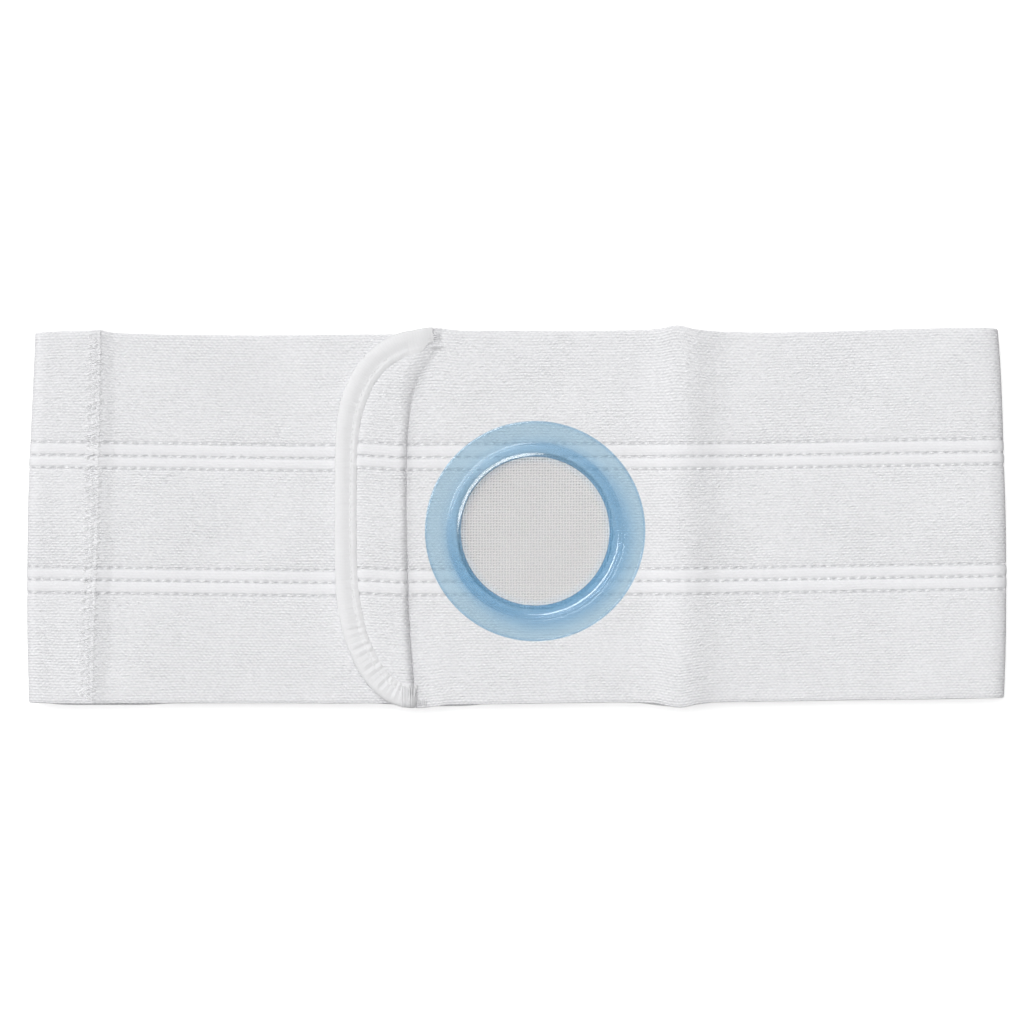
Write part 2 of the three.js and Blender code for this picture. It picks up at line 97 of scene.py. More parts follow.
# The crease: where its foot lies, how far the fall reaches to the left of it, how
# sharply it bends, how much of the rise runs out to the right, and how much of the full
# rise is left.
CREASE_FOOT = [(-79, -42.0), (-72, -42.6), (-66, -43.2), (-60, -43.7), (-50, -44.5), (-34, -45.3),
               (0, -46.0), (24, -46.0), (36, -45.5), (48, -43.9), (52, -42.7), (56, -41.1),
               (60.3, -38.6), (64.5, -35.4), (68.6, -32.8), (72.7, -31.2), (79, -30.6)]
CREASE_WIDTH = [(-79, 2.8), (-66, 2.8), (-50, 3.0), (-34, 3.6), (30, 3.7), (42, 4.4), (52, 6.4),
                (60, 8.4), (79, 8.4)]
CREASE_BEND = [(-79, 3.0), (-34, 3.4), (-10, 4.2), (34, 4.2), (50, 2.4), (60, 1.6), (79, 1.6)]
CREASE_TAIL = [(-79, 0.05), (-55, 0.07), (-30, 0.18), (-5, 0.34), (40, 0.34), (60, 0.14), (79, 0.10)]
CREASE_RISE = [(-79, 0.92), (-60, 1.0), (40, 1.0), (60, 0.86), (79, 0.80)]
FLAP_OUTLINE = [(-34.8, 78.1), (-38.6, 77.7), (-43.1, 76.8), (-47.8, 75.9), (-53.0, 73.7), (-58.2, 70.3),
                (-63.0, 65.8), (-67.2, 60.1), (-70.4, 53.5), (-72.8, 46.4), (-74.1, 38.7), (-74.7, 25.7),
                (-74.7, -24.1), (-73.9, -35.7), (-70.9, -50.2), (-68.5, -56.4), (-65.3, -63.0), (-61.5, -68.7),
                (-57.5, -72.9), (-52.8, -76.1), (-47.6, -78.0), (-42.2, -78.7)]


# --------------------------------------------------------------------- helpers
def ease(q):
    q = np.clip(q, 0.0, 1.0)
    return q * q * (3 - 2 * q)


def curve_of(rows, sigma):
    """A function through the rows (place, value), rounded over sigma millimetres."""
    rows = np.array(rows, float)
    step = 0.2
    grid = np.arange(rows[0, 0] - 4 * sigma - 2, rows[-1, 0] + 4 * sigma + 2, step)
    line = np.interp(grid, rows[:, 0], rows[:, 1])
    reach = int(4 * sigma / step)
    k = np.exp(-0.5 * (np.arange(-reach, reach + 1) * step / sigma) ** 2)
    line = np.convolve(np.pad(line, reach, mode="edge"), k / k.sum(), "valid")
    return lambda q: np.interp(q, grid, line)


top_edge, bottom_edge = curve_of(TOP_EDGE, 1.3), curve_of(BOTTOM_EDGE, 1.3)
back_bottom, back_top = curve_of(BACK_BOTTOM, 3.0), curve_of(BACK_TOP, 8.0)
bow_left, bow_right = curve_of(BOW_LEFT, 6.0), curve_of(BOW_RIGHT, 6.0)
lap_drift, row_drift = curve_of(LAP_DRIFT, 12.0), curve_of(ROW_DRIFT, 14.0)
panel_z = curve_of(PANEL, 2.0)
crease_foot, crease_width = curve_of(CREASE_FOOT, 2.0), curve_of(CREASE_WIDTH, 4.0)
crease_bend, crease_rise = curve_of(CREASE_BEND, 4.0), curve_of(CREASE_RISE, 5.0)
crease_tail = curve_of(CREASE_TAIL, 5.0)


def catmull(points, per=80):
    """Dense points on the centripetal curve through a list of points."""
    p = np.array(points, float)
    p = np.vstack([2 * p[0] - p[1], p, 2 * p[-1] - p[-2]])
    out = []
    for i in range(1, len(p) - 2):
        d0, d1, d2 = (np.linalg.norm(p[i + k] - p[i + k - 1]) ** 0.5 for k in (0, 1, 2))
        t1 = ((p[i] - p[i - 1]) / d0 - (p[i + 1] - p[i - 1]) / (d0 + d1) + (p[i + 1] - p[i]) / d1) * d1
        t2 = ((p[i + 1] - p[i]) / d1 - (p[i + 2] - p[i]) / (d1 + d2) + (p[i + 2] - p[i + 1]) / d2) * d1
        q = np.arange(per)[:, None] / per
        c2, c3 = -3 * p[i] + 3 * p[i + 1] - 2 * t1 - t2, 2 * p[i] - 2 * p[i + 1] + t1 + t2
        out.append(p[i] + t1 * q + c2 * q ** 2 + c3 * q ** 3)
    out.append(p[-2][None])
    return np.vstack(out)


def along(points):
    """Distance along a line of points."""
    return np.concatenate([[0], np.cumsum(np.linalg.norm(np.diff(points, axis=0), axis=1))])


def respaced(points, count):
    s = along(points)
    at = np.linspace(0, s[-1], count)
    return np.stack([np.interp(at, s, points[:, k]) for k in range(points.shape[1])], 1)


def inward(path):
    t = np.gradient(path, axis=0)
    t /= np.linalg.norm(t, axis=1)[:, None]
    return np.stack([-t[:, 1], t[:, 0]], 1)


flap_path = respaced(catmull(FLAP_OUTLINE), 421)
flap_in = inward(flap_path)
flap_coarse = flap_path[::3]


def spread_at(x, y):
    """How much wider the binding lies round the corners of the flap."""
    return 1.06 + 0.14 * ease((y - 22) / 32) * ease((-36 - x) / 14) + 0.07 * ease((-14 - y) / 22)


flap_spread = spread_at(flap_coarse[:, 0], flap_coarse[:, 1])


def flap_distance(x, y):
    """Distance from each point to the flap's outline, counted in widths of the binding."""
    shape = np.shape(x)
    q = np.stack([np.ravel(x), np.ravel(y)], 1)
    a, b = flap_coarse[:-1], flap_coarse[1:]
    d = b - a
    best = np.full(len(q), 1e9)
    for s in range(0, len(q), 4000):
        r = q[s:s + 4000, None] - a[None]
        w = np.clip((r * d).sum(2) / (d * d).sum(1), 0, 1)
        far = np.linalg.norm(r - w[..., None] * d, axis=2)
        best[s:s + 4000] = far.min(1) / flap_spread[far.argmin(1)]
    return best.reshape(shape)


def front_height(x, y):
    """Mid height of the front elastic, from the right fold to the flap."""
    x, y = np.asarray(x, float), np.asarray(y, float)
    z = panel_z(x)
    fall = np.clip((crease_foot(y) - x) / crease_width(y), 0, 1)
    tail = crease_tail(y)
    out = np.exp(-np.maximum(x - crease_foot(y), 0) / 1.8)
    up = crease_rise(y) * (tail * out + (1 - tail) * (1 - (1 - fall) ** crease_bend(y)))
    crown = np.zeros(x.shape)
    near = x < -25
    if near.any():
        crown[near] = FLAP_CROWN * ease((flap_distance(x[near], y[near]) - 8.4) / 2.4)
    valley = 0.30 * np.exp(-((x - crease_foot(y) - 0.1) / 0.55) ** 2) * ease((58 - y) / 12)
    return z - valley + up * (FLAP_BASE + crown - PANEL_MID)


def front_thickness(x, y):
    t = np.full(np.shape(x), ELASTIC_T)
    near = np.asarray(x) < -30
    if near.any():
        t[near] = BOUND_T + (ELASTIC_T - BOUND_T) * ease((flap_distance(x[near], y[near]) - 7.9) / 1.3)
    return t


def height_normal(height, x, y, e=0.2):
    n = np.stack([(height(x - e, y) - height(x + e, y)) / (2 * e),
                  (height(x, y - e) - height(x, y + e)) / (2 * e), np.ones(np.shape(x))], -1)
    return n / np.linalg.norm(n, axis=-1)[..., None]


def bow(x, y):
    """Shift along X that bows the folded ends."""
    w = ease((np.abs(x) - 150) / 48.4)
    return np.where(x < 0, w * (bow_left(y) + 0.6), -w * (bow_right(y) + 0.6))


def across(x, v, low, high):
    """Where a thread line v of the cloth lies across the belt, between its real edges."""
    w = ease((np.abs(v) - 35) / 41)
    return v + row_drift(x) * (1 - w) + w * np.where(v > 0, high - HALF, low + HALF)


def soft_noise(x, y, seed, scales, strength):
    """Smooth low waves over the cloth."""
    r = np.random.default_rng(seed)
    z = 0
    for s, a in zip(scales, strength):
        for _ in range(4):
            ang, ph = r.uniform(0, math.pi), r.uniform(0, 2 * math.pi)
            k = 2 * math.pi / (s * r.uniform(0.8, 1.25))
            z = z + a / 2 * np.sin(k * (x * math.cos(ang) + y * math.sin(ang)) + ph)
    return z


def mesh_piece(name, points, faces, material, uv=None, values=None, smooth=True):
    """An object from points in millimetres and lists of faces."""
    me = bpy.data.meshes.new(name)
    me.from_pydata((np.asarray(points, float) * MM).tolist(), [],
                   [f for part in faces for f in np.asarray(part).tolist()])
    if uv is not None:
        layer = me.uv_layers.new(name="weave")
        index = np.zeros(len(me.loops), np.int32)
        me.loops.foreach_get("vertex_index", index)
        layer.data.foreach_set("uv", np.asarray(uv, np.float32)[index].ravel())
    for key, value in (values or {}).items():
        a = me.attributes.new(key, "FLOAT", "POINT")
        a.data.foreach_set("value", np.asarray(value, np.float32).ravel())
    me.polygons.foreach_set("use_smooth", np.full(len(me.polygons), smooth))
    me.update()
    ob = bpy.data.objects.new(name, me)
    bpy.context.scene.collection.objects.link(ob)
    me.materials.append(material)
    return ob


# ------------------------------------------------------------------- materials
def tree_of(name):
    m = bpy.data.materials.new(name)
    m.use_nodes = True
    nt = m.node_tree
    nt.nodes.clear()
    return m, nt


class Nodes:
    """Short names for building a shader tree."""

    def __init__(self, nt):
        self.nt = nt

    def add(self, kind, **inputs):
        n = self.nt.nodes.new(kind)
        for key, value in inputs.items():
            n.inputs[key.replace("_", " ")].default_value = value
        return n

    def link(self, a, b):
        self.nt.links.new(a, b)

    def math(self, op, a, b=None, c=None):
        n = self.nt.nodes.new("ShaderNodeMath")
        n.operation = op
        for i, v in enumerate((a, b, c)):
            if v is None:
                continue
            if isinstance(v, (int, float)):
                n.inputs[i].default_value = v
            else:
                self.link(v, n.inputs[i])
        return n.outputs[0]

    def mix(self, fac, a, b):
        n = self.nt.nodes.new("ShaderNodeMix")
        n.data_type = "RGBA"
        for i, v in ((0, fac), (6, a), (7, b)):
            if isinstance(v, (int, float)):
                n.inputs[i].default_value = v
            elif isinstance(v, tuple):
                n.inputs[i].default_value = (*v, 1.0)
            else:
                self.link(v, n.inputs[i])
        return n.outputs[2]

    def attribute(self, name):
        n = self.nt.nodes.new("ShaderNodeAttribute")
        n.attribute_name = name
        return n.outputs["Fac"]

    def uv(self):
        n = self.nt.nodes.new("ShaderNodeUVMap")
        n.uv_map = "weave"
        s = self.nt.nodes.new("ShaderNodeSeparateXYZ")
        self.link(n.outputs[0], s.inputs[0])
        return n.outputs[0], s.outputs[0], s.outputs[1]

    def noise(self, vector, scale, detail=2.0, stretch=None):
        n = self.nt.nodes.new("ShaderNodeTexNoise")
        n.inputs["Scale"].default_value = scale
        n.inputs["Detail"].default_value = detail
        if stretch:
            m = self.nt.nodes.new("ShaderNodeMapping")
            m.inputs["Scale"].default_value = stretch
            self.link(vector, m.inputs[0])
            vector = m.outputs[0]
        self.link(vector, n.inputs["Vector"])
        return n.outputs[0]

    def bump(self, height, distance, strength=1.0, normal=None):
        n = self.nt.nodes.new("ShaderNodeBump")
        n.inputs["Strength"].default_value = strength
        n.inputs["Distance"].default_value = distance
        self.link(height, n.inputs["Height"])
        if normal is not None:
            self.link(normal, n.inputs["Normal"])
        return n.outputs[0]

    def cosine(self, value, pitch, phase=0.0):
        return self.math("COSINE", self.math("MULTIPLY_ADD", value, 2 * math.pi / pitch, phase))

    def finish(self, shader):
        out = self.nt.nodes.new("ShaderNodeOutputMaterial")
        self.link(shader, out.inputs[0])


def cloth_shader(n, colour, normal, roughness, sheen=0.25, specular=0.2):
    p = n.add("ShaderNodeBsdfPrincipled")
    p.inputs["Specular IOR Level"].default_value = specular
    p.inputs["Sheen Weight"].default_value = sheen
    p.inputs["Sheen Roughness"].default_value = 0.6
    if isinstance(roughness, float):
        p.inputs["Roughness"].default_value = roughness
    else:
        n.link(roughness, p.inputs["Roughness"])
    n.link(colour, p.inputs["Base Color"])
    n.link(normal, p.inputs["Normal"])
    return p.outputs[0]


# The weave's colour runs from ELASTIC_LIGHT on the raised threads to the darker end in the hollows, which is painted
# shade, with random tone between.
ELASTIC_LIGHT, ELASTIC_SHADE_AND_TONE = (0.90, 0.90, 0.915), (0.50, 0.50, 0.525)


def elastic_material():
    m, nt = tree_of("elastic")
    n = Nodes(nt)
    uv, u, v = n.uv()
    plain = n.attribute("plain")
    # Slow drift of the threads, so that the weave isn't ruled.
    wander = n.math("MULTIPLY", n.math("SUBTRACT", n.noise(uv, 0.09, 2.0), 0.5), 1.1)
    vv = n.math("ADD", v, wander)
    uu = n.math("ADD", u, n.math("MULTIPLY", n.math("SUBTRACT", n.noise(uv, 0.16, 2.0), 0.5), 2.6))
    rib = n.cosine(vv, RIB)
    knot = n.math("MULTIPLY", n.cosine(uu, KNOT), n.cosine(vv, 2 * RIB))
    fine = n.math("SUBTRACT", n.noise(uv, 1.0, 3.0, (0.55, 1.1, 1.0)), 0.5)
    patch = n.noise(uv, 0.045, 2.0, (0.6, 1.0, 1.0))
    strong = n.math("MULTIPLY_ADD", patch, 1.3, 0.25)
    lean = n.math("ADD", n.math("MULTIPLY", uu, 0.62), n.math("MULTIPLY", vv, 0.78))
    hatch = n.math("MULTIPLY", n.cosine(lean, 1.32), n.noise(uv, 0.11, 1.0))
    weave = n.math("ADD", n.math("MULTIPLY", rib, 0.50), n.math("MULTIPLY", knot, 0.36))
    weave = n.math("ADD", weave, n.math("MULTIPLY", hatch, 0.30))
    weave = n.math("ADD", n.math("MULTIPLY", weave, strong), n.math("MULTIPLY", fine, 2.3))
    cover = n.math("SUBTRACT", 1.0, n.math("MULTIPLY", plain, 0.62))
    height = n.math("MULTIPLY", weave, cover)
    normal = n.bump(height, 0.00013)
    # Painted shade: the colour darkens where the weave's relief is low, and random tone is added on top.
    low = n.math("MULTIPLY_ADD", height, -0.30, 0.30)
    tone = n.noise(uv, 0.028, 3.0)
    shade = n.math("ADD", low, n.math("MULTIPLY", n.math("SUBTRACT", tone, 0.5), 0.16))
    shade = n.math("MINIMUM", n.math("MAXIMUM", shade, 0.0), 1.0)
    colour = n.mix(shade, ELASTIC_LIGHT, ELASTIC_SHADE_AND_TONE)
    # Painted light: the plain channels are lifted lighter for their smooth, little-shaded face.
    colour = n.mix(n.math("MULTIPLY", plain, 0.20), colour, (0.94, 0.94, 0.955))
    # Painted shade in the dips between two stitches.
    colour = n.mix(n.math("MULTIPLY", n.attribute("painted_pit_shade"), 0.55), colour, (0.42, 0.42, 0.44))
    rough = n.math("MULTIPLY_ADD", shade, 0.12, 0.80)
    n.finish(cloth_shader(n, colour, normal, rough, 0.12, 0.04))
    return m


def thread_material(name, light, groove_shade, pitch=0.45):
    m, nt = tree_of(name)
    n = Nodes(nt)
    uv, u, v = n.uv()
    twist = n.cosine(n.math("ADD", u, n.math("MULTIPLY", v, 0.6)), pitch)
    fuzz = n.noise(uv, 2.2, 3.0)
    height = n.math("ADD", n.math("MULTIPLY", twist, 0.5), fuzz)
    normal = n.bump(height, 0.00004)
    # Painted shade: the colour is darker where the thread's twist and fuzz are low.
    colour = n.mix(n.math("MULTIPLY_ADD", height, -0.35, 0.55), light, groove_shade)
    n.finish(cloth_shader(n, colour, normal, 0.7, 0.15, 0.06))
    return m


def binding_material():
    m, nt = tree_of("binding")
    n = Nodes(nt)
    uv, u, v = n.uv()
    knit = n.cosine(n.math("ADD", u, n.math("MULTIPLY", n.noise(uv, 0.2), 1.5)), 1.25)
    wale = n.cosine(v, 0.85)
    fuzz = n.noise(uv, 1.4, 3.0)
    height = n.math("ADD", n.math("MULTIPLY", knit, 0.35), n.math("MULTIPLY", wale, 0.12))
    height = n.math("ADD", height, n.math("MULTIPLY", fuzz, 1.0))
    normal = n.bump(height, 0.00005)
    tone = n.noise(uv, 0.1, 2.0)
    # Painted shade: darker where the knit's relief is low, with random tone added.
    shade = n.math("ADD", n.math("MULTIPLY_ADD", height, -0.2, 0.32),
                   n.math("MULTIPLY", n.math("SUBTRACT", tone, 0.5), 0.5))
    colour = n.mix(n.math("MINIMUM", n.math("MAXIMUM", shade, 0.0), 1.0),
                   (0.79, 0.79, 0.80), (0.70, 0.70, 0.712))
    n.finish(cloth_shader(n, colour, normal, 0.78, 0.15, 0.05))
    return m


def net_material():
    m, nt = tree_of("net")
    n = Nodes(nt)
    uv, u, v = n.uv()
    twist = n.cosine(n.math("ADD", u, v), 0.3)
    fuzz = n.noise(uv, 2.5, 2.0)
    woven = n.math("MULTIPLY", n.math("ABSOLUTE", n.cosine(u, 2.36)), n.math("ABSOLUTE", n.cosine(v, 2.32)))
    ground = n.attribute("ground")
    height = n.math("ADD", n.math("MULTIPLY", twist, 0.25), fuzz)
    height = n.math("ADD", height, n.math("MULTIPLY", n.math("MULTIPLY", woven, ground), 4.0))
    normal = n.bump(height, 0.00004)
    tone = n.noise(uv, 0.06, 3.0)
    shade = n.math("MULTIPLY_ADD", fuzz, 0.5, n.math("MULTIPLY", tone, 0.4))
    colour = n.mix(shade, (1.0, 0.985, 0.99), (0.985, 0.965, 0.97))
    # Painted shade: the sides and undersides of the net's threads are darkened.
    colour = n.mix(n.math("MULTIPLY", n.math("POWER", n.attribute("painted_thread_shade"), 2.6), 0.50), colour, (0.42, 0.41, 0.412))
    # Painted light: a bluish tint on the net near the ring stands in for light that has come through the vinyl.
    colour = n.mix(n.math("MULTIPLY", n.attribute("painted_vinyl_light"), 0.45), colour, (0.76, 0.88, 0.98))
    n.finish(cloth_shader(n, colour, normal, 0.75, 0.3, 0.05))
    return m


def hook_material():
    m, nt = tree_of("hook")
    n = Nodes(nt)
    c = nt.nodes.new("ShaderNodeTexCoord")
    vor = nt.nodes.new("ShaderNodeTexVoronoi")
    vor.inputs["Scale"].default_value = 900.0
    vor.inputs["Randomness"].default_value = 0.35
    n.link(c.outputs["Object"], vor.inputs["Vector"])
    fuzz = n.noise(c.outputs["Object"], 1500.0, 2.0)
    height = n.math("SUBTRACT", n.math("MULTIPLY", fuzz, 0.4), vor.outputs["Distance"])
    normal = n.bump(height, 0.0003)
    # Painted shade: darker towards the edges of the hook cells, where the relief is low.
    colour = n.mix(vor.outputs["Distance"], (0.80, 0.81, 0.82), (0.58, 0.59, 0.61))
    n.finish(cloth_shader(n, colour, normal, 0.6, 0.1, 0.4))
    return m


def vinyl_material():
    """Thin clear blue vinyl: what lies under it shows through, deeper blue in the raised ring; the same tint also
    paints shade there, on the flange's lower right and at the outer rim.
    """
    m, nt = tree_of("vinyl")
    n = Nodes(nt)
    c = nt.nodes.new("ShaderNodeTexCoord")
    lip_tint_and_shade = n.attribute("lip_tint_and_shade")
    cloud = n.noise(c.outputs["Object"], 60.0, 2.0)
    grain = n.noise(c.outputs["Object"], 900.0, 2.0)
    p = n.add("ShaderNodeBsdfPrincipled")
    p.inputs["IOR"].default_value = 1.8
    p.inputs["Specular IOR Level"].default_value = 1.0
    colour = n.mix(lip_tint_and_shade, n.mix(cloud, (0.44, 0.66, 0.80), (0.37, 0.61, 0.77)),
                   n.mix(cloud, (0.14, 0.41, 0.66), (0.08, 0.34, 0.60)))
    n.link(colour, p.inputs["Base Color"])
    n.link(n.math("MULTIPLY_ADD", cloud, 0.05, 0.14), p.inputs["Roughness"])
    n.link(n.bump(n.math("ADD", n.math("MULTIPLY", cloud, 2.0), n.math("MULTIPLY", grain, 0.08)), 0.00005),
           p.inputs["Normal"])
    clear = nt.nodes.new("ShaderNodeBsdfTransparent")
    n.link(n.mix(lip_tint_and_shade, (0.735, 0.834, 0.895), (0.63, 0.765, 0.865)), clear.inputs[0])
    mixer = nt.nodes.new("ShaderNodeMixShader")
    n.link(n.math("MULTIPLY_ADD", lip_tint_and_shade, 0.20, n.math("MULTIPLY_ADD", cloud, 0.08, 0.09)), mixer.inputs[0])
    n.link(clear.outputs[0], mixer.inputs[1])
    n.link(p.outputs[0], mixer.inputs[2])
    n.finish(mixer.outputs[0])
    return m


ELASTIC = elastic_material()
# The second colour is the thread's painted groove shade.
THREAD = thread_material("thread", (0.88, 0.88, 0.89), (0.74, 0.74, 0.76))
BINDING = binding_material()
NET = net_material()
HOOK = hook_material()
VINYL = vinyl_material()


# ------------------------------------------------------------- cloth on a grid
def column_places():
    """Thread lines across the width where the cloth grids have a column."""
    v = [0.0, 6.7, 13.0, 16.0, 18.2, 33.2, 36.0, 41.0, 47.0, 53.0, 59.0, 65.0, 69.5, 72.6, 74.4,
         75.4, 75.95, HALF]
    for r in (20.5, 25.6, 31.0):
        v += [r - 1.0, r - 0.5, r, r + 0.5, r + 1.0]
    v += [22.4, 23.7, 27.6, 29.1]
    v = np.array(sorted(set(v)))
    return np.concatenate([-v[:0:-1], v])


V = column_places()


def edge_round(v):
    """Thickness share near the woven edges."""
    return np.interp(np.abs(v), [0, 74.4, 75.4, 75.95, HALF], [1, 1, 0.93, 0.72, 0.35])


def stitched(s, v):
    """Relief of the stitch rows: small pits under the stitches, and puffed channels."""
    d = np.zeros(np.broadcast(s, v).shape)
    for k, r in enumerate(ROWS_V):
        wave = 0.5 + 0.5 * np.cos(2 * np.pi * (s - 0.37 * k) / STITCH)
        d = d - (0.15 + 0.34 * wave) * np.exp(-((v - r) / 0.62) ** 2)
    for low, high in ((-31.0, -25.6), (-25.6, -20.5), (20.5, 25.6), (25.6, 31.0)):
        q = np.clip((v - low) / (high - low), 0, 1)
        pucker = 1 + 0.12 * np.cos(2 * np.pi * s / (STITCH / 2) + low)
        d = d + 0.20 * np.sin(np.pi * q) ** 0.8 * pucker
    return d


def channel_mask(v):
    q = np.zeros(np.shape(v))
    for low, high in ((-31.0, -25.6), (-25.6, -20.5), (20.5, 25.6), (25.6, 31.0)):
        q = np.maximum(q, ease((v - low - 0.3) / 0.7) * ease((high - 0.3 - v) / 0.7))
    return q


def pit_shade_mask(s, v):
    """Where the cloth is drawn down between two stitches; the colour there is darkened as painted shade."""
    q = np.zeros(np.broadcast(s, v).shape)
    for k, r in enumerate(ROWS_V):
        wave = 0.5 + 0.5 * np.cos(2 * np.pi * (s - 0.37 * k) / STITCH)
        q = np.maximum(q, wave * np.exp(-((v - r) / 0.55) ** 2))
    return q


def cloth_wall(name, mid, normal, thick, s, material, extra=None, keep=None, snap=None):
    """A closed wall of cloth on rows x columns of mid points."""
    rows, cols = mid.shape[:2]
    v = np.broadcast_to(V[None, :], (rows, cols))
    relief = stitched(s, v)
    if extra is not None:
        relief = relief + extra
    outer = mid + normal * (thick / 2 + relief)[..., None]
    inner = mid - normal * (thick / 2 + np.minimum(relief, 0.05) * 0.8)[..., None]
    if snap is not None:
        outer, inner = snap(outer), snap(inner)
    points = np.concatenate([outer.reshape(-1, 3), inner.reshape(-1, 3)])
    at = np.arange(rows * cols).reshape(rows, cols)
    low = at + rows * cols
    quads = np.stack([at[:-1, :-1], at[:-1, 1:], at[1:, 1:], at[1:, :-1]], -1).reshape(-1, 4)
    kept = np.ones((rows - 1, cols - 1), bool) if keep is None else keep
    flat = kept.ravel()
    faces = [quads[flat], (quads + rows * cols)[flat][:, ::-1]]
    # Side faces along every edge that only one kept quad uses.
    e = np.concatenate([quads[flat][:, [k, (k + 1) % 4]] for k in range(4)])
    key = np.sort(e, 1)
    code = key[:, 0].astype(np.int64) * (rows * cols) + key[:, 1]
    _, first, count = np.unique(code, return_index=True, return_counts=True)
    rim = e[first[count == 1]]
    faces.append(np.stack([rim[:, 1], rim[:, 0], rim[:, 0] + rows * cols, rim[:, 1] + rows * cols], 1))
    uv = np.stack([np.broadcast_to(s, v.shape), v], -1).reshape(-1, 2)
    values, pit_shades = channel_mask(v).ravel(), pit_shade_mask(s, v).ravel()
    # Turn all faces out if the grid runs the other way round.
    a, b, c = (points[quads[flat][:, k]] for k in (0, 1, 2))
    turn = (np.cross(b - a, c - a) * normal.reshape(-1, 3)[quads[flat][:, 0]]).sum() < 0
    if turn:
        faces = [f[:, ::-1] for f in faces]
    used = np.unique(np.concatenate([f.ravel() for f in faces]))
    new = np.full(len(points), -1)
    new[used] = np.arange(len(used))
    faces = [new[f] for f in faces]
    ob = mesh_piece(name, points[used], faces, material, np.concatenate([uv, uv])[used],
                    {"plain": np.concatenate([values, values])[used], "painted_pit_shade": np.concatenate([pit_shades, pit_shades])[used]})
    return ob, outer


# ----------------------------------------------------------- the long elastic
SEAM_TOP = LAP_MID + LAP_LIFT + ELASTIC_T / 2


def lap_t(inside):
    """The lap is pressed thin towards its free edge."""
    return np.interp(inside, [0, 0.25, 0.7, 1.4, 7.0], [0.22, 0.36, 0.5, 0.66, ELASTIC_T])


def lap_height(x, y):
    """Mid height of the long elastic at the lap seam and up to the left fold."""
    inside = LAP_X + lap_drift(y) - x + bow(x, y)
    rough = 0.10 * ease(inside / 1.5) * ease((LAP_WIDTH + 1.5 - inside) / 2.5) * soft_noise(x, y, 21, (6.5, 3.6), (0.8, 0.6))
    return SEAM_TOP - lap_t(inside) / 2 + rough - 0.2 * ease((inside - LAP_WIDTH - 1) / 9.0)


rows_mid, rows_normal, rows_t = [], [], []


def push(x, y, z, n, t):
    rows_mid.append(np.stack(np.broadcast_arrays(x, y, z), -1).astype(float))
    rows_normal.append(np.broadcast_to(n, rows_mid[-1].shape).astype(float))
    rows_t.append(np.broadcast_to(np.asarray(t, float), V.shape).copy())


LEFT_A, RIGHT_A = 5.5, 9.0        # length of each fold's curve along X
left_top = LAP_MID + LAP_LIFT - 0.2
for d in (0.0, 0.25, 0.7, 1.4, 2.2, 3.1, 4.1, 5.1, 6.1, 7.1, 8.1, 9.3, 10.5, 11.7, 12.9, 14.1, 15.3, 16.5, 18.1, 19.7, 21.2, 22.6, 23.7):
    x0 = np.full(V.shape, LAP_X - d)
    y = across(x0, V, bottom_edge(x0), top_edge(x0))
    x = x0 + lap_drift(y) * (1 - ease((d - 9) / 9))
    x = x + bow(x, y)
    t = float(lap_t(d))
    push(x, y, lap_height(x, y), height_normal(lap_height, x, y), t)
STEPS = 22
for k in range(STEPS + 1):
    a = math.pi / 2 + math.pi * k / STEPS
    b = (left_top - BACK_MID) / 2
    on_front = (math.sin(a) + 1) / 2
    ca, sa = math.cos(a), math.sin(a)
    sq = (abs(ca) ** 2.8 + abs(sa) ** 2.8) ** (-1 / 2.8)
    x0 = np.full(V.shape, -(REACH - LEFT_A) + LEFT_A * ca * sq)
    y = (across(x0, V, back_bottom(x0), back_top(x0)) * (1 - on_front)
         + across(x0, V, bottom_edge(x0), top_edge(x0)) * on_front)
    n = np.array([-abs(ca) ** 1.8 / LEFT_A, 0, math.copysign(abs(sa) ** 1.8, sa) / b])
    push(x0 + bow(-198.4, y), y, BACK_MID + b + b * sa * sq, n / np.linalg.norm(n), ELASTIC_T)
for x0 in np.concatenate([np.linspace(-195.4, -150, 24), np.linspace(-147, 150, 130), np.linspace(153, 191, 20)]):
    x0 = np.full(V.shape, x0)
    y = across(x0, V, back_bottom(x0), back_top(x0))
    push(x0 + bow(x0, y), y, BACK_MID, np.array([0, 0, -1.0]), ELASTIC_T)
for k in range(STEPS + 1):
    a = -math.pi / 2 + math.pi * k / STEPS
    b = (FRONT_MID - BACK_MID) / 2
    on_front = (math.sin(a) + 1) / 2
    ca, sa = math.cos(a), math.sin(a)
    sq = (abs(ca) ** 2.5 + abs(sa) ** 2.5) ** (-1 / 2.5)
    x0 = np.full(V.shape, REACH - RIGHT_A + RIGHT_A * ca * sq)
    y = (across(x0, V, back_bottom(x0), back_top(x0)) * (1 - on_front)
         + across(x0, V, bottom_edge(x0), top_edge(x0)) * on_front)
    n = np.array([abs(ca) ** 1.5 / RIGHT_A, 0, math.copysign(abs(sa) ** 1.5, sa) / b])
    push(x0 + bow(198.4, y), y, BACK_MID + b + b * sa * sq, n / np.linalg.norm(n), ELASTIC_T)
front_first = len(rows_mid)
PITCH = STITCH / 4
for x0 in np.arange(192.2, -24.9, -PITCH):
    x0 = np.full(V.shape, x0)
    y = across(x0, V, bottom_edge(x0), top_edge(x0))
    x = x0 + bow(x0, y)
    push(x, y, front_height(x, y), height_normal(front_height, x, y), ELASTIC_T)
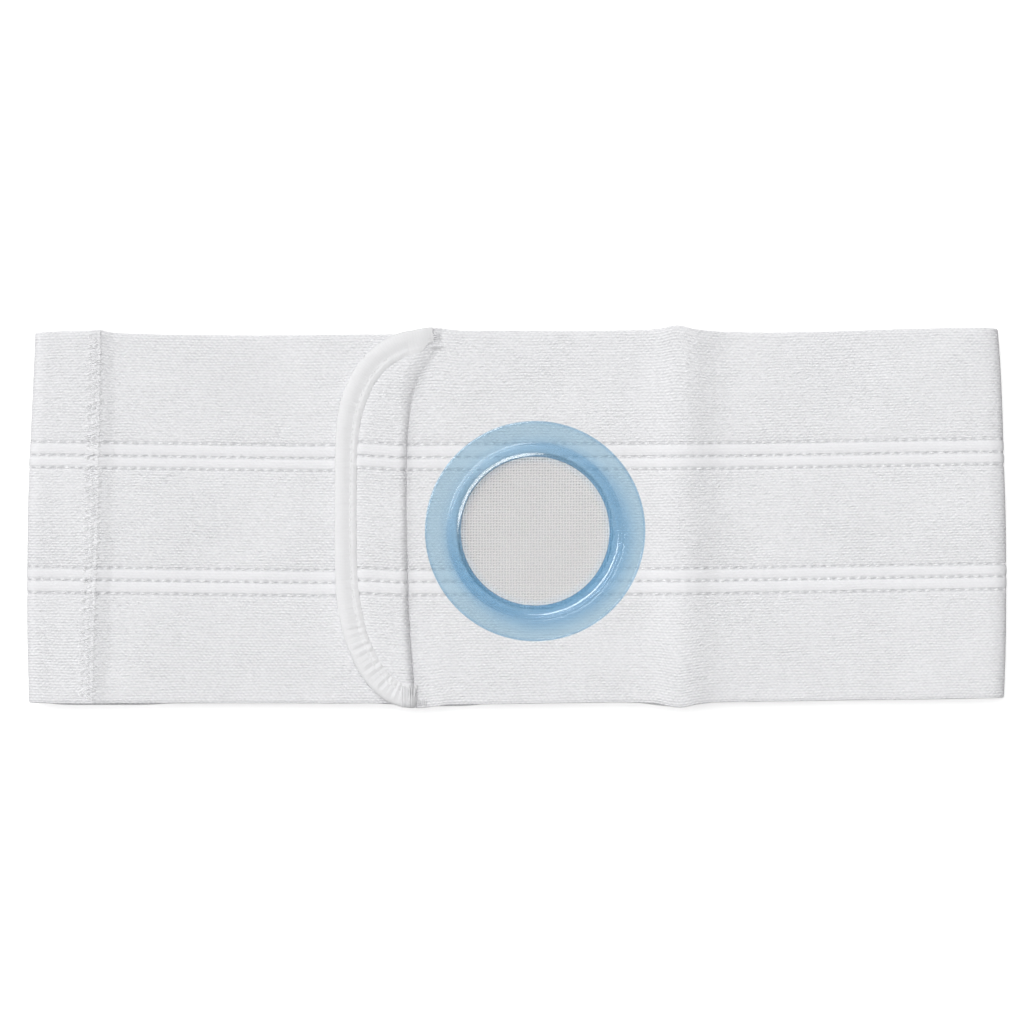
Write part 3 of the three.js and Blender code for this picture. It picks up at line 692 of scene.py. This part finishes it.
# Down to the crease and across it, on lines that follow it, then out to the curved end.
inset = flap_path + flap_in * EDGE_INSET
order = np.argsort(inset[:, 1])
v_end = np.clip(V, inset[:, 1].min() / HALF * HALF, None)
w_end = ease((np.abs(V) - 50) / 26.2)
y_end = V + w_end * np.where(V > 0, inset[:, 1].max() - HALF, inset[:, 1].min() + HALF)
x_end = np.interp(y_end, inset[order, 1], inset[order, 0])
foot, fall_width = crease_foot(V), crease_width(V)
start_x = rows_mid[-1][:, 0].copy()
right_of = np.minimum(foot + 3.0, start_x - 0.5)
left_of = np.maximum(foot - 1.1 * fall_width, x_end + 1.5)
lines = [start_x + (right_of - start_x) * q for q in np.linspace(0, 1, 19)[1:]]
for off in (2.2, 1.5, 1.0, 0.6, 0.3, 0.1, -0.1, -0.3, -0.55, -0.85, -1.2, -1.7, -2.3, -3.0, -3.8, -4.62):
    lines.append(right_of + (left_of - right_of) * (3.0 - off) / 7.62)
for x in lines:
    y = across(x, V, bottom_edge(x), top_edge(x))
    push(x, y, front_height(x, y), height_normal(front_height, x, y, 0.8), front_thickness(x, y))
last = rows_mid[-1]
for q in np.concatenate([np.linspace(0, 1, 24)[1:-1], [0.975, 0.99, 1.0]]):
    w = q ** 0.8
    x = last[:, 0] + (x_end - last[:, 0]) * q
    y = last[:, 1] + (y_end - last[:, 1]) * w
    t = front_thickness(x, y) * (0.6 if q == 1.0 else 0.85 if q == 0.99 else 1.0)
    push(x, y, front_height(x, y), height_normal(front_height, x, y, 0.5), t)

belt_mid, belt_normal = np.array(rows_mid), np.array(rows_normal)
belt_t = np.array(rows_t) * edge_round(V)[None, :]
belt_s = np.concatenate([np.zeros((1, len(V))), np.cumsum(np.linalg.norm(np.diff(belt_mid, axis=0), axis=2), 0)])
# All columns count from the right fold, so that the threads lie square to the edges.
belt_s = belt_s - belt_s[front_first][None, :]

x, y, z = belt_mid[..., 0], belt_mid[..., 1], belt_mid[..., 2]
on_front = np.zeros(belt_mid.shape[0], bool)
on_front[front_first:] = True
ring_far = ease((np.hypot(x - RING_X, y - RING_Y) - 46) / 14)
flap_far = np.ones(x.shape)
near = (x < -25) & on_front[:, None]
flap_far[near] = ease((flap_distance(x[near], y[near]) - 10.3) / 5)
wave = soft_noise(x, y, 3, (70, 32, 14), (0.16, 0.10, 0.035))
# Small cockles along the free edges and round the crease.
cockle = soft_noise(x, y, 11, (9, 5), (0.05, 0.035)) * ease((np.abs(y) - 58) / 16)
belt_mid[..., 2] += np.where(on_front[:, None], (wave * ease((192 - x) / 30) + cockle) * ring_far * flap_far, 0)
sag = -0.55 * ease((np.abs(y) - 56) / 22) ** 1.5
belt_mid[..., 2] += np.where(on_front[:, None], sag * flap_far * ease((190 - x) / 20), 0)

hole_at = np.hypot(x - RING_X, y - RING_Y)
centre = 0.25 * (hole_at[:-1, :-1] + hole_at[1:, :-1] + hole_at[:-1, 1:] + hole_at[1:, 1:])
front_quads = on_front[:-1, None] & on_front[1:, None]
open_quads = front_quads & (centre < HOLE_R)
touching = np.zeros(x.shape, bool)
shut = np.zeros(x.shape, bool)
for a, b in ((slice(None, -1), slice(None, -1)), (slice(1, None), slice(None, -1)),
             (slice(None, -1), slice(1, None)), (slice(1, None), slice(1, None))):
    touching[a, b] |= open_quads
    shut[a, b] |= ~open_quads
rim_points = touching & shut


def to_circle(points):
    """Brings the cut edge of the opening onto its circle."""
    p = points.copy()
    dx, dy = p[..., 0] - RING_X, p[..., 1] - RING_Y
    r = np.hypot(dx, dy)
    k = np.where(rim_points, HOLE_R / np.maximum(r, 1e-6), 1.0)
    p[..., 0], p[..., 1] = RING_X + dx * k, RING_Y + dy * k
    return p


belt, belt_outer = cloth_wall("belt_elastic_cloth", belt_mid, belt_normal, belt_t, belt_s, ELASTIC,
                              keep=~open_quads, snap=to_circle)

# ----------------------------------------------------------- the side elastic
side_rows = np.concatenate([[0, 0.004, 0.012], np.linspace(0.022, 0.13, 34), np.linspace(0.138, 1, 108)])
mids, normals, ts = [], [], []
SIDE_START = LAP_X - LAP_WIDTH


def side_height(x, y):
    edge = LAP_X + lap_drift(y) + bow(x, y)
    under = SEAM_TOP + 0.10 - lap_t(edge - x - 1.4) - ELASTIC_T / 2 - FRONT_MID
    past = np.maximum(x - edge, 0)
    lift = under * (1 - 0.68 * ease(past / 8.0 + 0.1 * (past > 0)) - 0.32 * ease(past / 50.0))
    far = ease((x - edge - 4) / 20) * ease((-76 - x) / 12)
    return FRONT_MID + lift + far * soft_noise(x, y, 5, (60, 28, 12), (0.10, 0.06, 0.03)) - far * 0.4 * ease((np.abs(y) - 56) / 22) ** 1.5


for q in side_rows:
    start = SIDE_START + lap_drift(V)
    x = start + q * (SIDE_END_X - start)
    xe = np.minimum(x, -60)
    y = across(xe, V, bottom_edge(xe), top_edge(xe))
    w = ease((np.abs(V) - 35) / 41)
    y = np.where(x > -80, y - w * ease((x + 80) / 14) * np.where(V > 0, top_edge(xe) - 75.2, bottom_edge(xe) + 76.8), y)
    x = x + bow(x, y)
    mids.append(np.stack([x, y, side_height(x, y)], -1))
    normals.append(height_normal(side_height, x, y))
    ts.append(np.full(V.shape, ELASTIC_T * (0.6 if q in (0, 1) else 1.0)))
side_mid, side_normal = np.array(mids), np.array(normals)
side_t = np.array(ts) * edge_round(V)[None, :]
side_s = 7.3 + np.concatenate([np.zeros((1, len(V))), np.cumsum(np.linalg.norm(np.diff(side_mid, axis=0), axis=2), 0)])
side, side_outer = cloth_wall("side_elastic_cloth", side_mid, side_normal, side_t, side_s, ELASTIC)


# -------------------------------------------------------------------- threads
def unit(a):
    return a / np.maximum(np.linalg.norm(a, axis=-1), 1e-9)[..., None]


def threads(lines, sides=6):
    """Closed tubes. Each line is (points, up directions, radii) of one thread."""
    points, faces, uv = [], [], []
    base = 0
    ring = 2 * np.pi * np.arange(sides) / sides
    for p, up, radius in lines:
        t = unit(np.gradient(p, axis=0))
        side_way = unit(np.cross(t, up))
        over = np.cross(side_way, t)
        circle = (side_way[:, None] * np.cos(ring)[None, :, None] + over[:, None] * np.sin(ring)[None, :, None])
        q = p[:, None] + circle * np.asarray(radius)[:, None, None]
        count = len(p)
        points.append(q.reshape(-1, 3))
        s = along(p)
        uv.append(np.stack([np.repeat(s, sides) + base * 0.37, np.tile(np.arange(sides) * 0.3, count)], -1))
        at = base + np.arange(count * sides).reshape(count, sides)
        nxt = np.roll(at, -1, axis=1)
        faces.append(np.stack([at[:-1], nxt[:-1], nxt[1:], at[1:]], -1).reshape(-1, 4))
        if sides == 6:
            for loop, back in ((at[0], True), (at[-1], False)):
                cap = np.array([[loop[0], loop[1], loop[2], loop[3]], [loop[0], loop[3], loop[4], loop[5]]])
                faces.append(cap[:, ::-1] if back else cap)
        else:
            faces.append(np.array([at[0][::-1]]))
            faces.append(np.array([at[-1]]))
        base += count * sides
    return np.concatenate(points), faces, np.concatenate(uv)


def row_threads(outer, normal, s, skip):
    """The stitches of the six sewn rows of one elastic."""
    found = []
    for k, r in enumerate(ROWS_V):
        j = int(np.argmin(np.abs(V - r)))
        sj, line, up = s[:, j], outer[:, j], normal[:, j]
        first = math.ceil((sj[0] + 1.5) / STITCH)
        for c in range(first, int((sj[-1] - 1.5) // STITCH)):
            centre_s = c * STITCH + 0.37 * k + STITCH / 2
            at = centre_s + np.array([-1.12, -0.88, -0.4, 0.4, 0.88, 1.12]) * rng.uniform(0.85, 1.12)
            if at[0] < sj[0] or at[-1] > sj[-1]:
                continue
            p = np.stack([np.interp(at, sj, line[:, i]) for i in range(3)], 1)
            n = unit(np.stack([np.interp(at, sj, up[:, i]) for i in range(3)], 1))
            if skip(p[2]):
                continue
            jitter = rng.uniform(-0.08, 0.08, 2)
            p[:, 1] += jitter[0]
            depth = np.array([-0.42, -0.16, 0.10, 0.10, -0.16, -0.42])
            p = p + n * depth[:, None]
            if p[2, 2] < 2:
                p[:, 2] = np.maximum(p[:, 2], 0.36)
            found.append((p, n, np.array([0.12, 0.26, 0.34, 0.34, 0.26, 0.12]) * (1 + jitter[1])))
    return found


def under_ring(p):
    return p[2] > 6 and math.hypot(p[0] - RING_X, p[1] - RING_Y) < 33.6


def past_flap(p):
    if p[2] < 6:
        return False
    if p[0] < -55 and p[0] > -76 and flap_distance(np.array([p[0]]), np.array([p[1]]))[0] < 9.3 and p[2] > 10.5:
        return True
    return under_ring(p)


lines = row_threads(belt_outer, belt_normal, belt_s, past_flap)
lines += row_threads(side_outer, side_normal, side_s, lambda p: p[0] < LAP_X + 0.4 or p[0] > -53)
points, faces, uv = threads(lines)
row_stitches = mesh_piece("row_stitches", points, faces, THREAD, uv)

# The zigzag that closes the lap seam: three small stitches to each leg.
lines = []
LEG = 2.1
for shift, phase in ((0.0, 0.0), (0.5, 1.0), (-0.4, 1.6)):
    ys = np.arange(-75.3 + phase, 75.0, LEG)
    for i in range(len(ys) - 1):
        lo, hi = (-0.9, 6.2) if i % 2 == 0 else (6.2, -0.9)
        for part in range(3):
            q = np.array([0.04, 0.16, 0.5, 0.84, 0.96]) / 3 + part / 3
            y = ys[i] + q * LEG + rng.uniform(-0.25, 0.25)
            d = lo + (hi - lo) * q + shift + rng.uniform(-0.35, 0.35)
            x = LAP_X + lap_drift(y) - d
            x = x + bow(x, y)
            over = lap_height(x, y) + lap_t(d) / 2
            z = np.where(d > 0, over, side_height(x, y) + ELASTIC_T / 2)
            z = z + np.array([-0.22, 0.03, 0.12, 0.03, -0.22])
            lines.append((np.stack([x, y, z], 1), np.tile([0, 0, 1.0], (5, 1)), np.array([0.14, 0.22, 0.26, 0.22, 0.14])))
points, faces, uv = threads(lines)
seam_stitches = mesh_piece("seam_zigzag", points, faces, THREAD, uv)

# ------------------------------------------------------------------ the binding
SECTION = [  # distance in from the outline, height over the middle
    (8.50, 0.72), (8.54, 0.76), (8.50, 0.80), (8.36, 0.88), (8.06, 0.98), (7.70, 1.10), (7.34, 1.20),
    (6.98, 1.23), (6.66, 1.17), (6.34, 1.08), (5.96, 1.04), (5.54, 1.08), (5.04, 1.18), (4.54, 1.29),
    (4.04, 1.40), (3.54, 1.47), (3.04, 1.50), (2.54, 1.48), (2.04, 1.41), (1.54, 1.30), (1.08, 1.14),
    (0.68, 0.92), (0.36, 0.62), (0.12, 0.30), (0.02, 0.0), (0.10, -0.45), (0.35, -0.95), (0.75, -1.38),
    (1.30, -1.62), (2.00, -1.70), (4.00, -1.70), (7.30, -1.70), (8.10, -1.62), (8.42, -1.35), (8.50, -0.72),
    (4.0, -0.72), (1.50, -0.72), (1.30, -0.55), (1.30, 0.55), (1.50, 0.72), (4.0, 0.72),
]
section = np.array(SECTION)
path = respaced(catmull(FLAP_OUTLINE), 521)
inw = inward(path)
s_path = along(path)
low_part = ease((-38 - path[:, 1]) / 20)                       # the puckered lower part
pucker = np.sin(2 * np.pi * s_path / 3.1 + 1.3 * np.sin(s_path / 7.7))
pucker2 = np.sin(2 * np.pi * s_path / 4.7 + 2.0 * np.sin(s_path / 11.3) + 1.0)
wide = spread_at(path[:, 0], path[:, 1]) * (1 - 0.36 * (1 - ease(s_path / 7.5)))
settled = ease(s_path / 17)                                    # the top end is pressed flat
welt_on = ease((s_path - 8) / 20)
pts = []
for d, h in SECTION:
    q = path + inw * (d * wide)[:, None]
    z = front_height(q[:, 0], q[:, 1])
    n = height_normal(front_height, q[:, 0], q[:, 1])
    if h > 0.9:
        share = np.clip((d - 1.0) / 2.5, 0, 1)
        h = h + share * (low_part * (0.085 * pucker + 0.06 * pucker2) + 0.035 * pucker2 + 0.02 * pucker)
        h = 0.84 + (h - 0.84) * (0.06 + 0.94 * settled)
        if 6.3 < d < 8.4:
            h = h - 0.12 * (1 - welt_on)
    pts.append(np.stack([q[:, 0], q[:, 1], z], 1) + n * (h if np.ndim(h) == 0 else h[:, None]))
pts = np.stack(pts, 1)
count, m = pts.shape[:2]
at = np.arange(count * m).reshape(count, m)
nxt = np.roll(at, -1, axis=1)
faces = [np.stack([at[:-1], nxt[:-1], nxt[1:], at[1:]], -1).reshape(-1, 4), np.array([at[0][::-1]]), np.array([at[-1]])]
around = along(np.vstack([section, section[:1]]))[:-1]
uv = np.stack([np.repeat(s_path, m), np.tile(around, count)], -1)
a, b, c = pts.reshape(-1, 3)[faces[0][:, 0]], pts.reshape(-1, 3)[faces[0][:, 1]], pts.reshape(-1, 3)[faces[0][:, 2]]
if (a * np.cross(b, c)).sum() < 0:
    faces = [f[:, ::-1] for f in faces]
binding = mesh_piece("flap_binding_tape", pts.reshape(-1, 3), faces, BINDING, uv)

# Stitches along the binding's inner welt, and the bar of stitches at its lower end.
lines = []
total = s_path[-1]
for k in range(int(total // 2.7)):
    centre_s = 1.2 + k * 2.7
    at_s = centre_s + np.array([-0.95, -0.7, 0, 0.7, 0.95])
    if at_s[0] < 0 or at_s[-1] > total:
        continue
    px, py = np.interp(at_s, s_path, path[:, 0]), np.interp(at_s, s_path, path[:, 1])
    nx, ny = np.interp(at_s, s_path, inw[:, 0]), np.interp(at_s, s_path, inw[:, 1])
    if centre_s < 24:
        continue
    d = 6.05 * spread_at(px, py)
    x, y = px + nx * d, py + ny * d
    z = front_height(x, y) + 1.02 + np.array([-0.30, -0.05, 0.08, -0.05, -0.30])
    lines.append((np.stack([x, y, z], 1), np.tile([0, 0, 1.0], (5, 1)), np.array([0.10, 0.18, 0.21, 0.18, 0.10])))
for k in range(9):
    x = np.full(7, -47.2 + 0.64 * k) + rng.uniform(-0.06, 0.06)
    y = -69.4 - 0.12 * k + np.array([0.0, -0.4, -2.2, -4.5, -6.6, -8.3, -8.7]) * (1.0 - 0.01 * k)
    z = front_height(x, y) + 1.68 + np.array([-0.5, 0.02, 0.10, 0.12, 0.10, 0.0, -0.5])
    lines.append((np.stack([x, y, z], 1), np.tile([0, 0, 1.0], (7, 1)), np.array([0.16, 0.28, 0.31, 0.31, 0.31, 0.28, 0.16])))
for k in range(5):
    x = np.full(5, -41.0 + 0.85 * k)
    y = -75.2 + np.array([0.0, -0.3, -1.2, -2.1, -2.4])
    z = front_height(x, y) + ELASTIC_T / 2 + np.array([-0.2, 0.10, 0.16, 0.10, -0.2])
    lines.append((np.stack([x, y, z], 1), np.tile([0, 0, 1.0], (5, 1)), np.array([0.12, 0.22, 0.25, 0.22, 0.12])))
for x0, x1, y0, y1 in ((-36.8, -30.0, 69.3, 69.7), (-36.2, -29.6, 70.0, 70.3), (-34.9, -31.7, 73.2, 73.6),
                       (-34.6, -31.9, 74.0, 74.2), (-34.9, -31.6, 75.0, 75.1)):
    x, y = np.linspace(x0, x1, 7), np.linspace(y0, y1, 7)
    on_tape = ease((-33.9 - x) / 1.2)
    z = front_height(x, y) + 0.82 + 0.10 * on_tape + np.array([-0.3, 0.04, 0.10, 0.12, 0.10, 0.04, -0.3])
    lines.append((np.stack([x, y, z], 1), np.tile([0, 0, 1.0], (7, 1)), np.array([0.10, 0.20, 0.23, 0.23, 0.23, 0.20, 0.10])))
points, faces, uv = threads(lines)
binding_stitches = mesh_piece("binding_stitches", points, faces, THREAD, uv)

# --------------------------------------------------------------------- the ring
PROFILE = [  # radius, height over the elastic
    (30.62, -1.75), (31.4, -1.78), (32.0, -1.6), (32.0, -0.2), (32.05, 0.22), (32.4, 0.30), (36.0, 0.30),
    (40.0, 0.30), (43.5, 0.30), (44.9, 0.32), (45.22, 0.42), (45.36, 0.62), (45.30, 0.86), (45.1, 1.0),
    (44.93, 0.99), (44.82, 0.84), (44.70, 0.78), (44.58, 0.86), (44.44, 1.04), (44.26, 1.12), (44.06, 1.08),
    (43.8, 0.96), (43.4, 0.92), (42.0, 0.92), (40.0, 0.92), (38.4, 0.93), (37.6, 0.93), (37.26, 0.94),
    (37.14, 1.00), (37.06, 1.20), (36.96, 1.42), (36.84, 1.55), (36.66, 1.60), (36.45, 1.50), (36.25, 1.33), (36.05, 1.20),
    (35.88, 1.12), (35.78, 1.30), (35.70, 1.70), (35.62, 2.10), (35.54, 2.33), (35.40, 2.42), (35.26, 2.37),
    (35.12, 2.25), (35.02, 2.22), (34.92, 2.42), (34.78, 2.72), (34.5, 2.96), (34.15, 3.12), (33.7, 3.22),
    (33.1, 3.27), (32.6, 3.19), (32.1, 3.02), (31.6, 2.79), (31.2, 2.57), (30.92, 2.38), (30.74, 2.18),
    (30.65, 1.9), (30.63, 1.5), (30.62, 0.7), (30.62, 0.0), (30.60, -0.9),
]
profile = np.array(PROFILE)
TURNS = 180
turn = 2 * np.pi * np.arange(TURNS) / TURNS
pr, ph = profile[:, 0], profile[:, 1]
rx = RING_X + pr[None, :] * np.cos(turn)[:, None]
ry = RING_Y + pr[None, :] * np.sin(turn)[:, None]
drape = (front_height(rx, ry) - PANEL_MID) * ease((pr[None, :] - 36) / 8)
rz = RING_TOP + ph[None, :] + drape
m = len(profile)
at = np.arange(TURNS * m).reshape(TURNS, m)
right, down, both = np.roll(at, -1, 1), np.roll(at, -1, 0), np.roll(np.roll(at, -1, 1), -1, 0)
faces = [np.stack([at, down, both, right], -1).reshape(-1, 4)]
pts = np.stack([rx, ry, rz], -1).reshape(-1, 3)
q = pts - np.array([RING_X, RING_Y, RING_TOP])
a, b, c = q[faces[0][:, 0]], q[faces[0][:, 1]], q[faces[0][:, 2]]
if (a * np.cross(b, c)).sum() < 0:
    faces = [f[:, ::-1] for f in faces]
# The tint: strong in the raised ring, where it also runs lighter on the upper left and stronger towards the lower left
# as painted shade; on the lower right it runs out over the flange as a painted shadow. Columns: angle round the ring,
# the ring's tint with painted shade, the painted shadow over the flange.
LIP_TINT_AND_SHADOW = [(-180, 0.76, 0.0), (-135, 1.2, 0.10), (-90, 0.88, 0.88), (-45, 0.62, 1.0), (0, 0.94, 0.88),
            (45, 0.94, 0.10), (90, 0.70, 0.0), (135, 0.42, 0.0), (180, 0.76, 0.0)]
tint_rows = np.array(LIP_TINT_AND_SHADOW)
turn_deg = (np.degrees(turn) + 180) % 360 - 180
lip_depth_and_shade, painted_lip_shadow = (np.interp(turn_deg, tint_rows[:, 0], tint_rows[:, k])[:, None] for k in (1, 2))
lip_tint_and_shade = np.maximum(np.minimum(lip_depth_and_shade * np.interp(pr, [33.0, 34.0, 35.9, 37.2], [0.85, 1.0, 1.0, 0.0])[None, :], 1.0),
                 painted_lip_shadow * np.interp(pr, [36.0, 37.0, 38.5, 40.0, 42.0, 43.4], [1.0, 0.95, 0.75, 0.45, 0.15, 0.0])[None, :])
# Painted contact shade: a thin deeper tint along the ring's outer rim.
lip_tint_and_shade = np.maximum(lip_tint_and_shade, np.interp(pr, [44.5, 44.7, 44.95, 45.1], [0.0, 0.45, 0.45, 0.1])[None, :] * (pr > 44)[None, :])
around = along(np.vstack([profile, profile[:1]]))[:-1]
uv = np.stack([np.repeat(turn * 36, m), np.tile(around, TURNS)], -1)
ring = mesh_piece("opening_ring_vinyl", pts, faces, VINYL, uv, {"lip_tint_and_shade": lip_tint_and_shade.ravel()})

# ---------------------------------------------------------------------- the net
GRID_X, GRID_Y = 1.18, 1.16
OPEN_R = 39.6
lines = []
cells = int(OPEN_R // GRID_X)
centres = (NET_Z - 0.05)


def net_rise(r):
    """The net stands a little proud under the opening."""
    return 4.2 * (1 - ease((r - 30.8) / 8.4))


def net_thread(fixed, axis, index):
    reach = math.sqrt(max(OPEN_R ** 2 - fixed ** 2, 0))
    step = GRID_X if axis == 0 else GRID_Y
    half = int(reach // step)
    if half < 2:
        return None
    u = np.arange(-half * 2, half * 2 + 1) * step / 2
    over = np.cos(np.pi * (u / step)) * (1 if index % 2 == 0 else -1) * (1 if axis == 0 else -1)
    z = centres + 0.13 * over
    wob = 0.05 * np.sin(u * 0.9 + index * 2.1) + 0.04 * math.sin(index * 12.9898)
    z = z + net_rise(np.hypot(u, fixed))
    p = np.stack([u + RING_X, np.full(len(u), fixed) + wob + RING_Y, z], 1) if axis == 0 else \
        np.stack([np.full(len(u), fixed) + wob + RING_X, u + RING_Y, z], 1)
    return p, np.tile([0, 0, 1.0], (len(u), 1)), np.full(len(u), 0.25)


for i in range(-cells, cells + 1):
    for axis, step in ((0, GRID_Y), (1, GRID_X)):
        made = net_thread(i * step, axis, i)
        if made is not None:
            lines.append(made)


def net_tubes(lines, sides=5):
    points, faces, uv = [], [], []
    base = 0
    ring_a = 2 * np.pi * np.arange(sides) / sides + math.pi / 2
    for p, up, radius in lines:
        t = unit(np.gradient(p, axis=0))
        side_way = unit(np.cross(t, up))
        over = np.cross(side_way, t)
        circle = (side_way[:, None] * np.cos(ring_a)[None, :, None] * 1.6 + over[:, None] * np.sin(ring_a)[None, :, None] * 0.5)
        q = p[:, None] + circle * radius[:, None, None]
        count = len(p)
        points.append(q.reshape(-1, 3))
        uv.append(np.stack([np.repeat(along(p), sides), np.tile(np.arange(sides) * 0.3, count)], -1))
        at = base + np.arange(count * sides).reshape(count, sides)
        nxt = np.roll(at, -1, axis=1)
        faces.append(np.stack([at[:-1], nxt[:-1], nxt[1:], at[1:]], -1).reshape(-1, 4))
        faces.append(np.array([at[0][::-1]]))
        faces.append(np.array([at[-1]]))
        base += count * sides
    return np.concatenate(points), faces, np.concatenate(uv)


tube_points, tube_faces, tube_uv = net_tubes(lines, 4)
# The rest of the net, round the open part: a thin closed wall with the woven relief.
gx = np.linspace(NET_X0, NET_X1, 57)
gy = np.linspace(NET_Y - NET_HALF, NET_Y + NET_HALF, 75)
PX, PY = np.meshgrid(gx, gy, indexing="ij")
dist = np.hypot(PX - RING_X, PY - RING_Y)
mid_d = 0.25 * (dist[:-1, :-1] + dist[1:, :-1] + dist[:-1, 1:] + dist[1:, 1:])
R_IN = OPEN_R - 1.0
cut = mid_d < R_IN
touch, keepv = np.zeros(PX.shape, bool), np.zeros(PX.shape, bool)
for a, b in ((slice(None, -1), slice(None, -1)), (slice(1, None), slice(None, -1)),
             (slice(None, -1), slice(1, None)), (slice(1, None), slice(1, None))):
    touch[a, b] |= cut
    keepv[a, b] |= ~cut
rim = touch & keepv
k = np.where(rim, R_IN / np.maximum(dist, 1e-6), 1.0)
PX, PY = RING_X + (PX - RING_X) * k, RING_Y + (PY - RING_Y) * k
n_pts = PX.size
at = np.arange(n_pts).reshape(PX.shape)
quads = np.stack([at[:-1, :-1], at[1:, :-1], at[1:, 1:], at[:-1, 1:]], -1).reshape(-1, 4)[~cut.ravel()]
e = np.concatenate([quads[:, [k, (k + 1) % 4]] for k in range(4)])
key = np.sort(e, 1)
_, first, count = np.unique(key[:, 0].astype(np.int64) * n_pts + key[:, 1], return_index=True, return_counts=True)
rim_e = e[first[count == 1]]
wall = [quads, (quads + n_pts)[:, ::-1], np.stack([rim_e[:, 1], rim_e[:, 0], rim_e[:, 0] + n_pts, rim_e[:, 1] + n_pts], 1)]
relief = 0.06 * np.sin(PX * 1.3) * np.sin(PY * 1.1)
top = np.stack([PX, PY, np.full(PX.shape, NET_Z + 0.2) + relief], -1).reshape(-1, 3)
low = np.stack([PX, PY, np.full(PX.shape, NET_Z - 0.3) + relief], -1).reshape(-1, 3)
wall_pts = np.concatenate([top, low])
used = np.unique(np.concatenate([f.ravel() for f in wall]))
new = np.full(len(wall_pts), -1)
new[used] = np.arange(len(used))
wall = [new[f] + len(tube_points) for f in wall]
wall_uv = np.stack([wall_pts[used][:, 0], wall_pts[used][:, 1]], -1)
net = mesh_piece("net_panel_mesh", np.concatenate([tube_points, wall_pts[used]]), tube_faces + wall, NET,
                 np.concatenate([tube_uv, wall_uv]),
                 # The net's colour marks: painted light near the ring and painted shade on the threads' sides.
                 {"ground": np.concatenate([np.zeros(len(tube_points)), np.ones(len(used))]),
                  "painted_vinyl_light": np.concatenate([ease((np.hypot(tube_points[:, 0] - RING_X, tube_points[:, 1] - RING_Y) - 27.2) / 3.8),
                                            np.zeros(len(used))]),
                  "painted_thread_shade": np.concatenate([np.tile([0.0, 1.0, 1.0, 1.0], len(tube_points) // 4), np.zeros(len(used))])})

# --------------------------------------------------------------- the hook patch
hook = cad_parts["hook_patch"]
hook.data.materials.clear()
hook.data.materials.append(HOOK)

# -------------------------------------------------------------- riding: pieces hang from the root, the CAD parts they replace are hidden
for piece, node, slot in ((belt, "belt_elastic", "elastic"), (side, "side_elastic", "elastic"),
                          (binding, "flap_binding", "binding"), (ring, "opening_ring", "vinyl"),
                          (net, "net_panel", "net")):
    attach(piece, "root")
    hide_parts(node)
for piece, slot in ((row_stitches, "elastic"), (seam_stitches, "elastic"), (binding_stitches, "binding")):
    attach(piece, "root")

# ---------------------------------------------------- floor, light and the camera
floor_me = bpy.data.meshes.new("floor")
floor_me.from_pydata([(-4, -4, -0.0002), (4, -4, -0.0002), (4, 4, -0.0002), (-4, 4, -0.0002)], [], [(0, 1, 2, 3)])
floor = bpy.data.objects.new("floor", floor_me)
bpy.context.scene.collection.objects.link(floor)
fm, nt = tree_of("floor")
n = Nodes(nt)
coord = nt.nodes.new("ShaderNodeTexCoord")
p = n.add("ShaderNodeBsdfPrincipled", Roughness=0.9)
p.inputs["Specular IOR Level"].default_value = 0.0
n.link(n.mix(n.noise(coord.outputs["Object"], 3.0), (0.90, 0.90, 0.90), (0.88, 0.88, 0.88)), p.inputs["Base Color"])
p.inputs["Emission Color"].default_value = (1, 1, 1, 1)
p.inputs["Emission Strength"].default_value = 0.42
n.finish(p.outputs[0])
floor_me.materials.append(fm)

world = bpy.data.worlds.new("studio")
bpy.context.scene.world = world
world.use_nodes = True
world.node_tree.nodes["Background"].inputs[0].default_value = (1.0, 1.0, 1.0, 1)
world.node_tree.nodes["Background"].inputs[1].default_value = 0.30


def aim(ob, direction):
    ob.rotation_mode = "QUATERNION"
    ob.rotation_quaternion = Vector(direction).to_track_quat("-Z", "Y")


def sun(name, towards, spread_deg, strength, colour=(1, 1, 1)):
    """A soft far light. towards points from the belt to the light."""
    data = bpy.data.lights.new(name, "SUN")
    data.angle = math.radians(spread_deg)
    data.energy = strength
    data.color = colour
    ob = bpy.data.objects.new(name, data)
    bpy.context.scene.collection.objects.link(ob)
    aim(ob, -Vector(towards))
    ob.location = (0, 0, 2)
    ob.visible_glossy = False
    return ob


def gloss_panel(name, where, size, size_y, power, target=(RING_X * MM, RING_Y * MM, 0.01)):
    """A softbox that only shows as a highlight on the vinyl."""
    data = bpy.data.lights.new(name, "AREA")
    data.shape = "RECTANGLE"
    data.size, data.size_y = size, size_y
    data.energy = power
    ob = bpy.data.objects.new(name, data)
    bpy.context.scene.collection.objects.link(ob)
    ob.location = where
    aim(ob, Vector(target) - Vector(where))
    ob.visible_camera = False
    ob.visible_diffuse = False
    return ob


sun("key", (-0.80, 0.68, 1.0), 60, 1.80)
sun("top", (0.0, 0.05, 1.0), 56, 1.07)
gloss_panel("gloss_low_right", (0.95, -1.05, 1.15), 2.4, 1.1, 120.0)
ring.visible_shadow = False
ring.visible_diffuse = False
floor.visible_diffuse = False

camera_data = bpy.data.cameras.new("camera")
camera_data.sensor_width = 36.0
camera_data.lens = 85.0
camera = bpy.data.objects.new("camera", camera_data)
bpy.context.scene.collection.objects.link(camera)
camera.location = (0.0, 0.0, 0.009 + 0.4259 / 2 / math.tan(math.atan(18.0 / 85.0)))
camera.rotation_euler = (0, 0, 0)
camera_data.clip_start, camera_data.clip_end = 0.05, 50
bpy.context.scene.camera = camera
bpy.context.scene.view_settings.view_transform = "Standard"
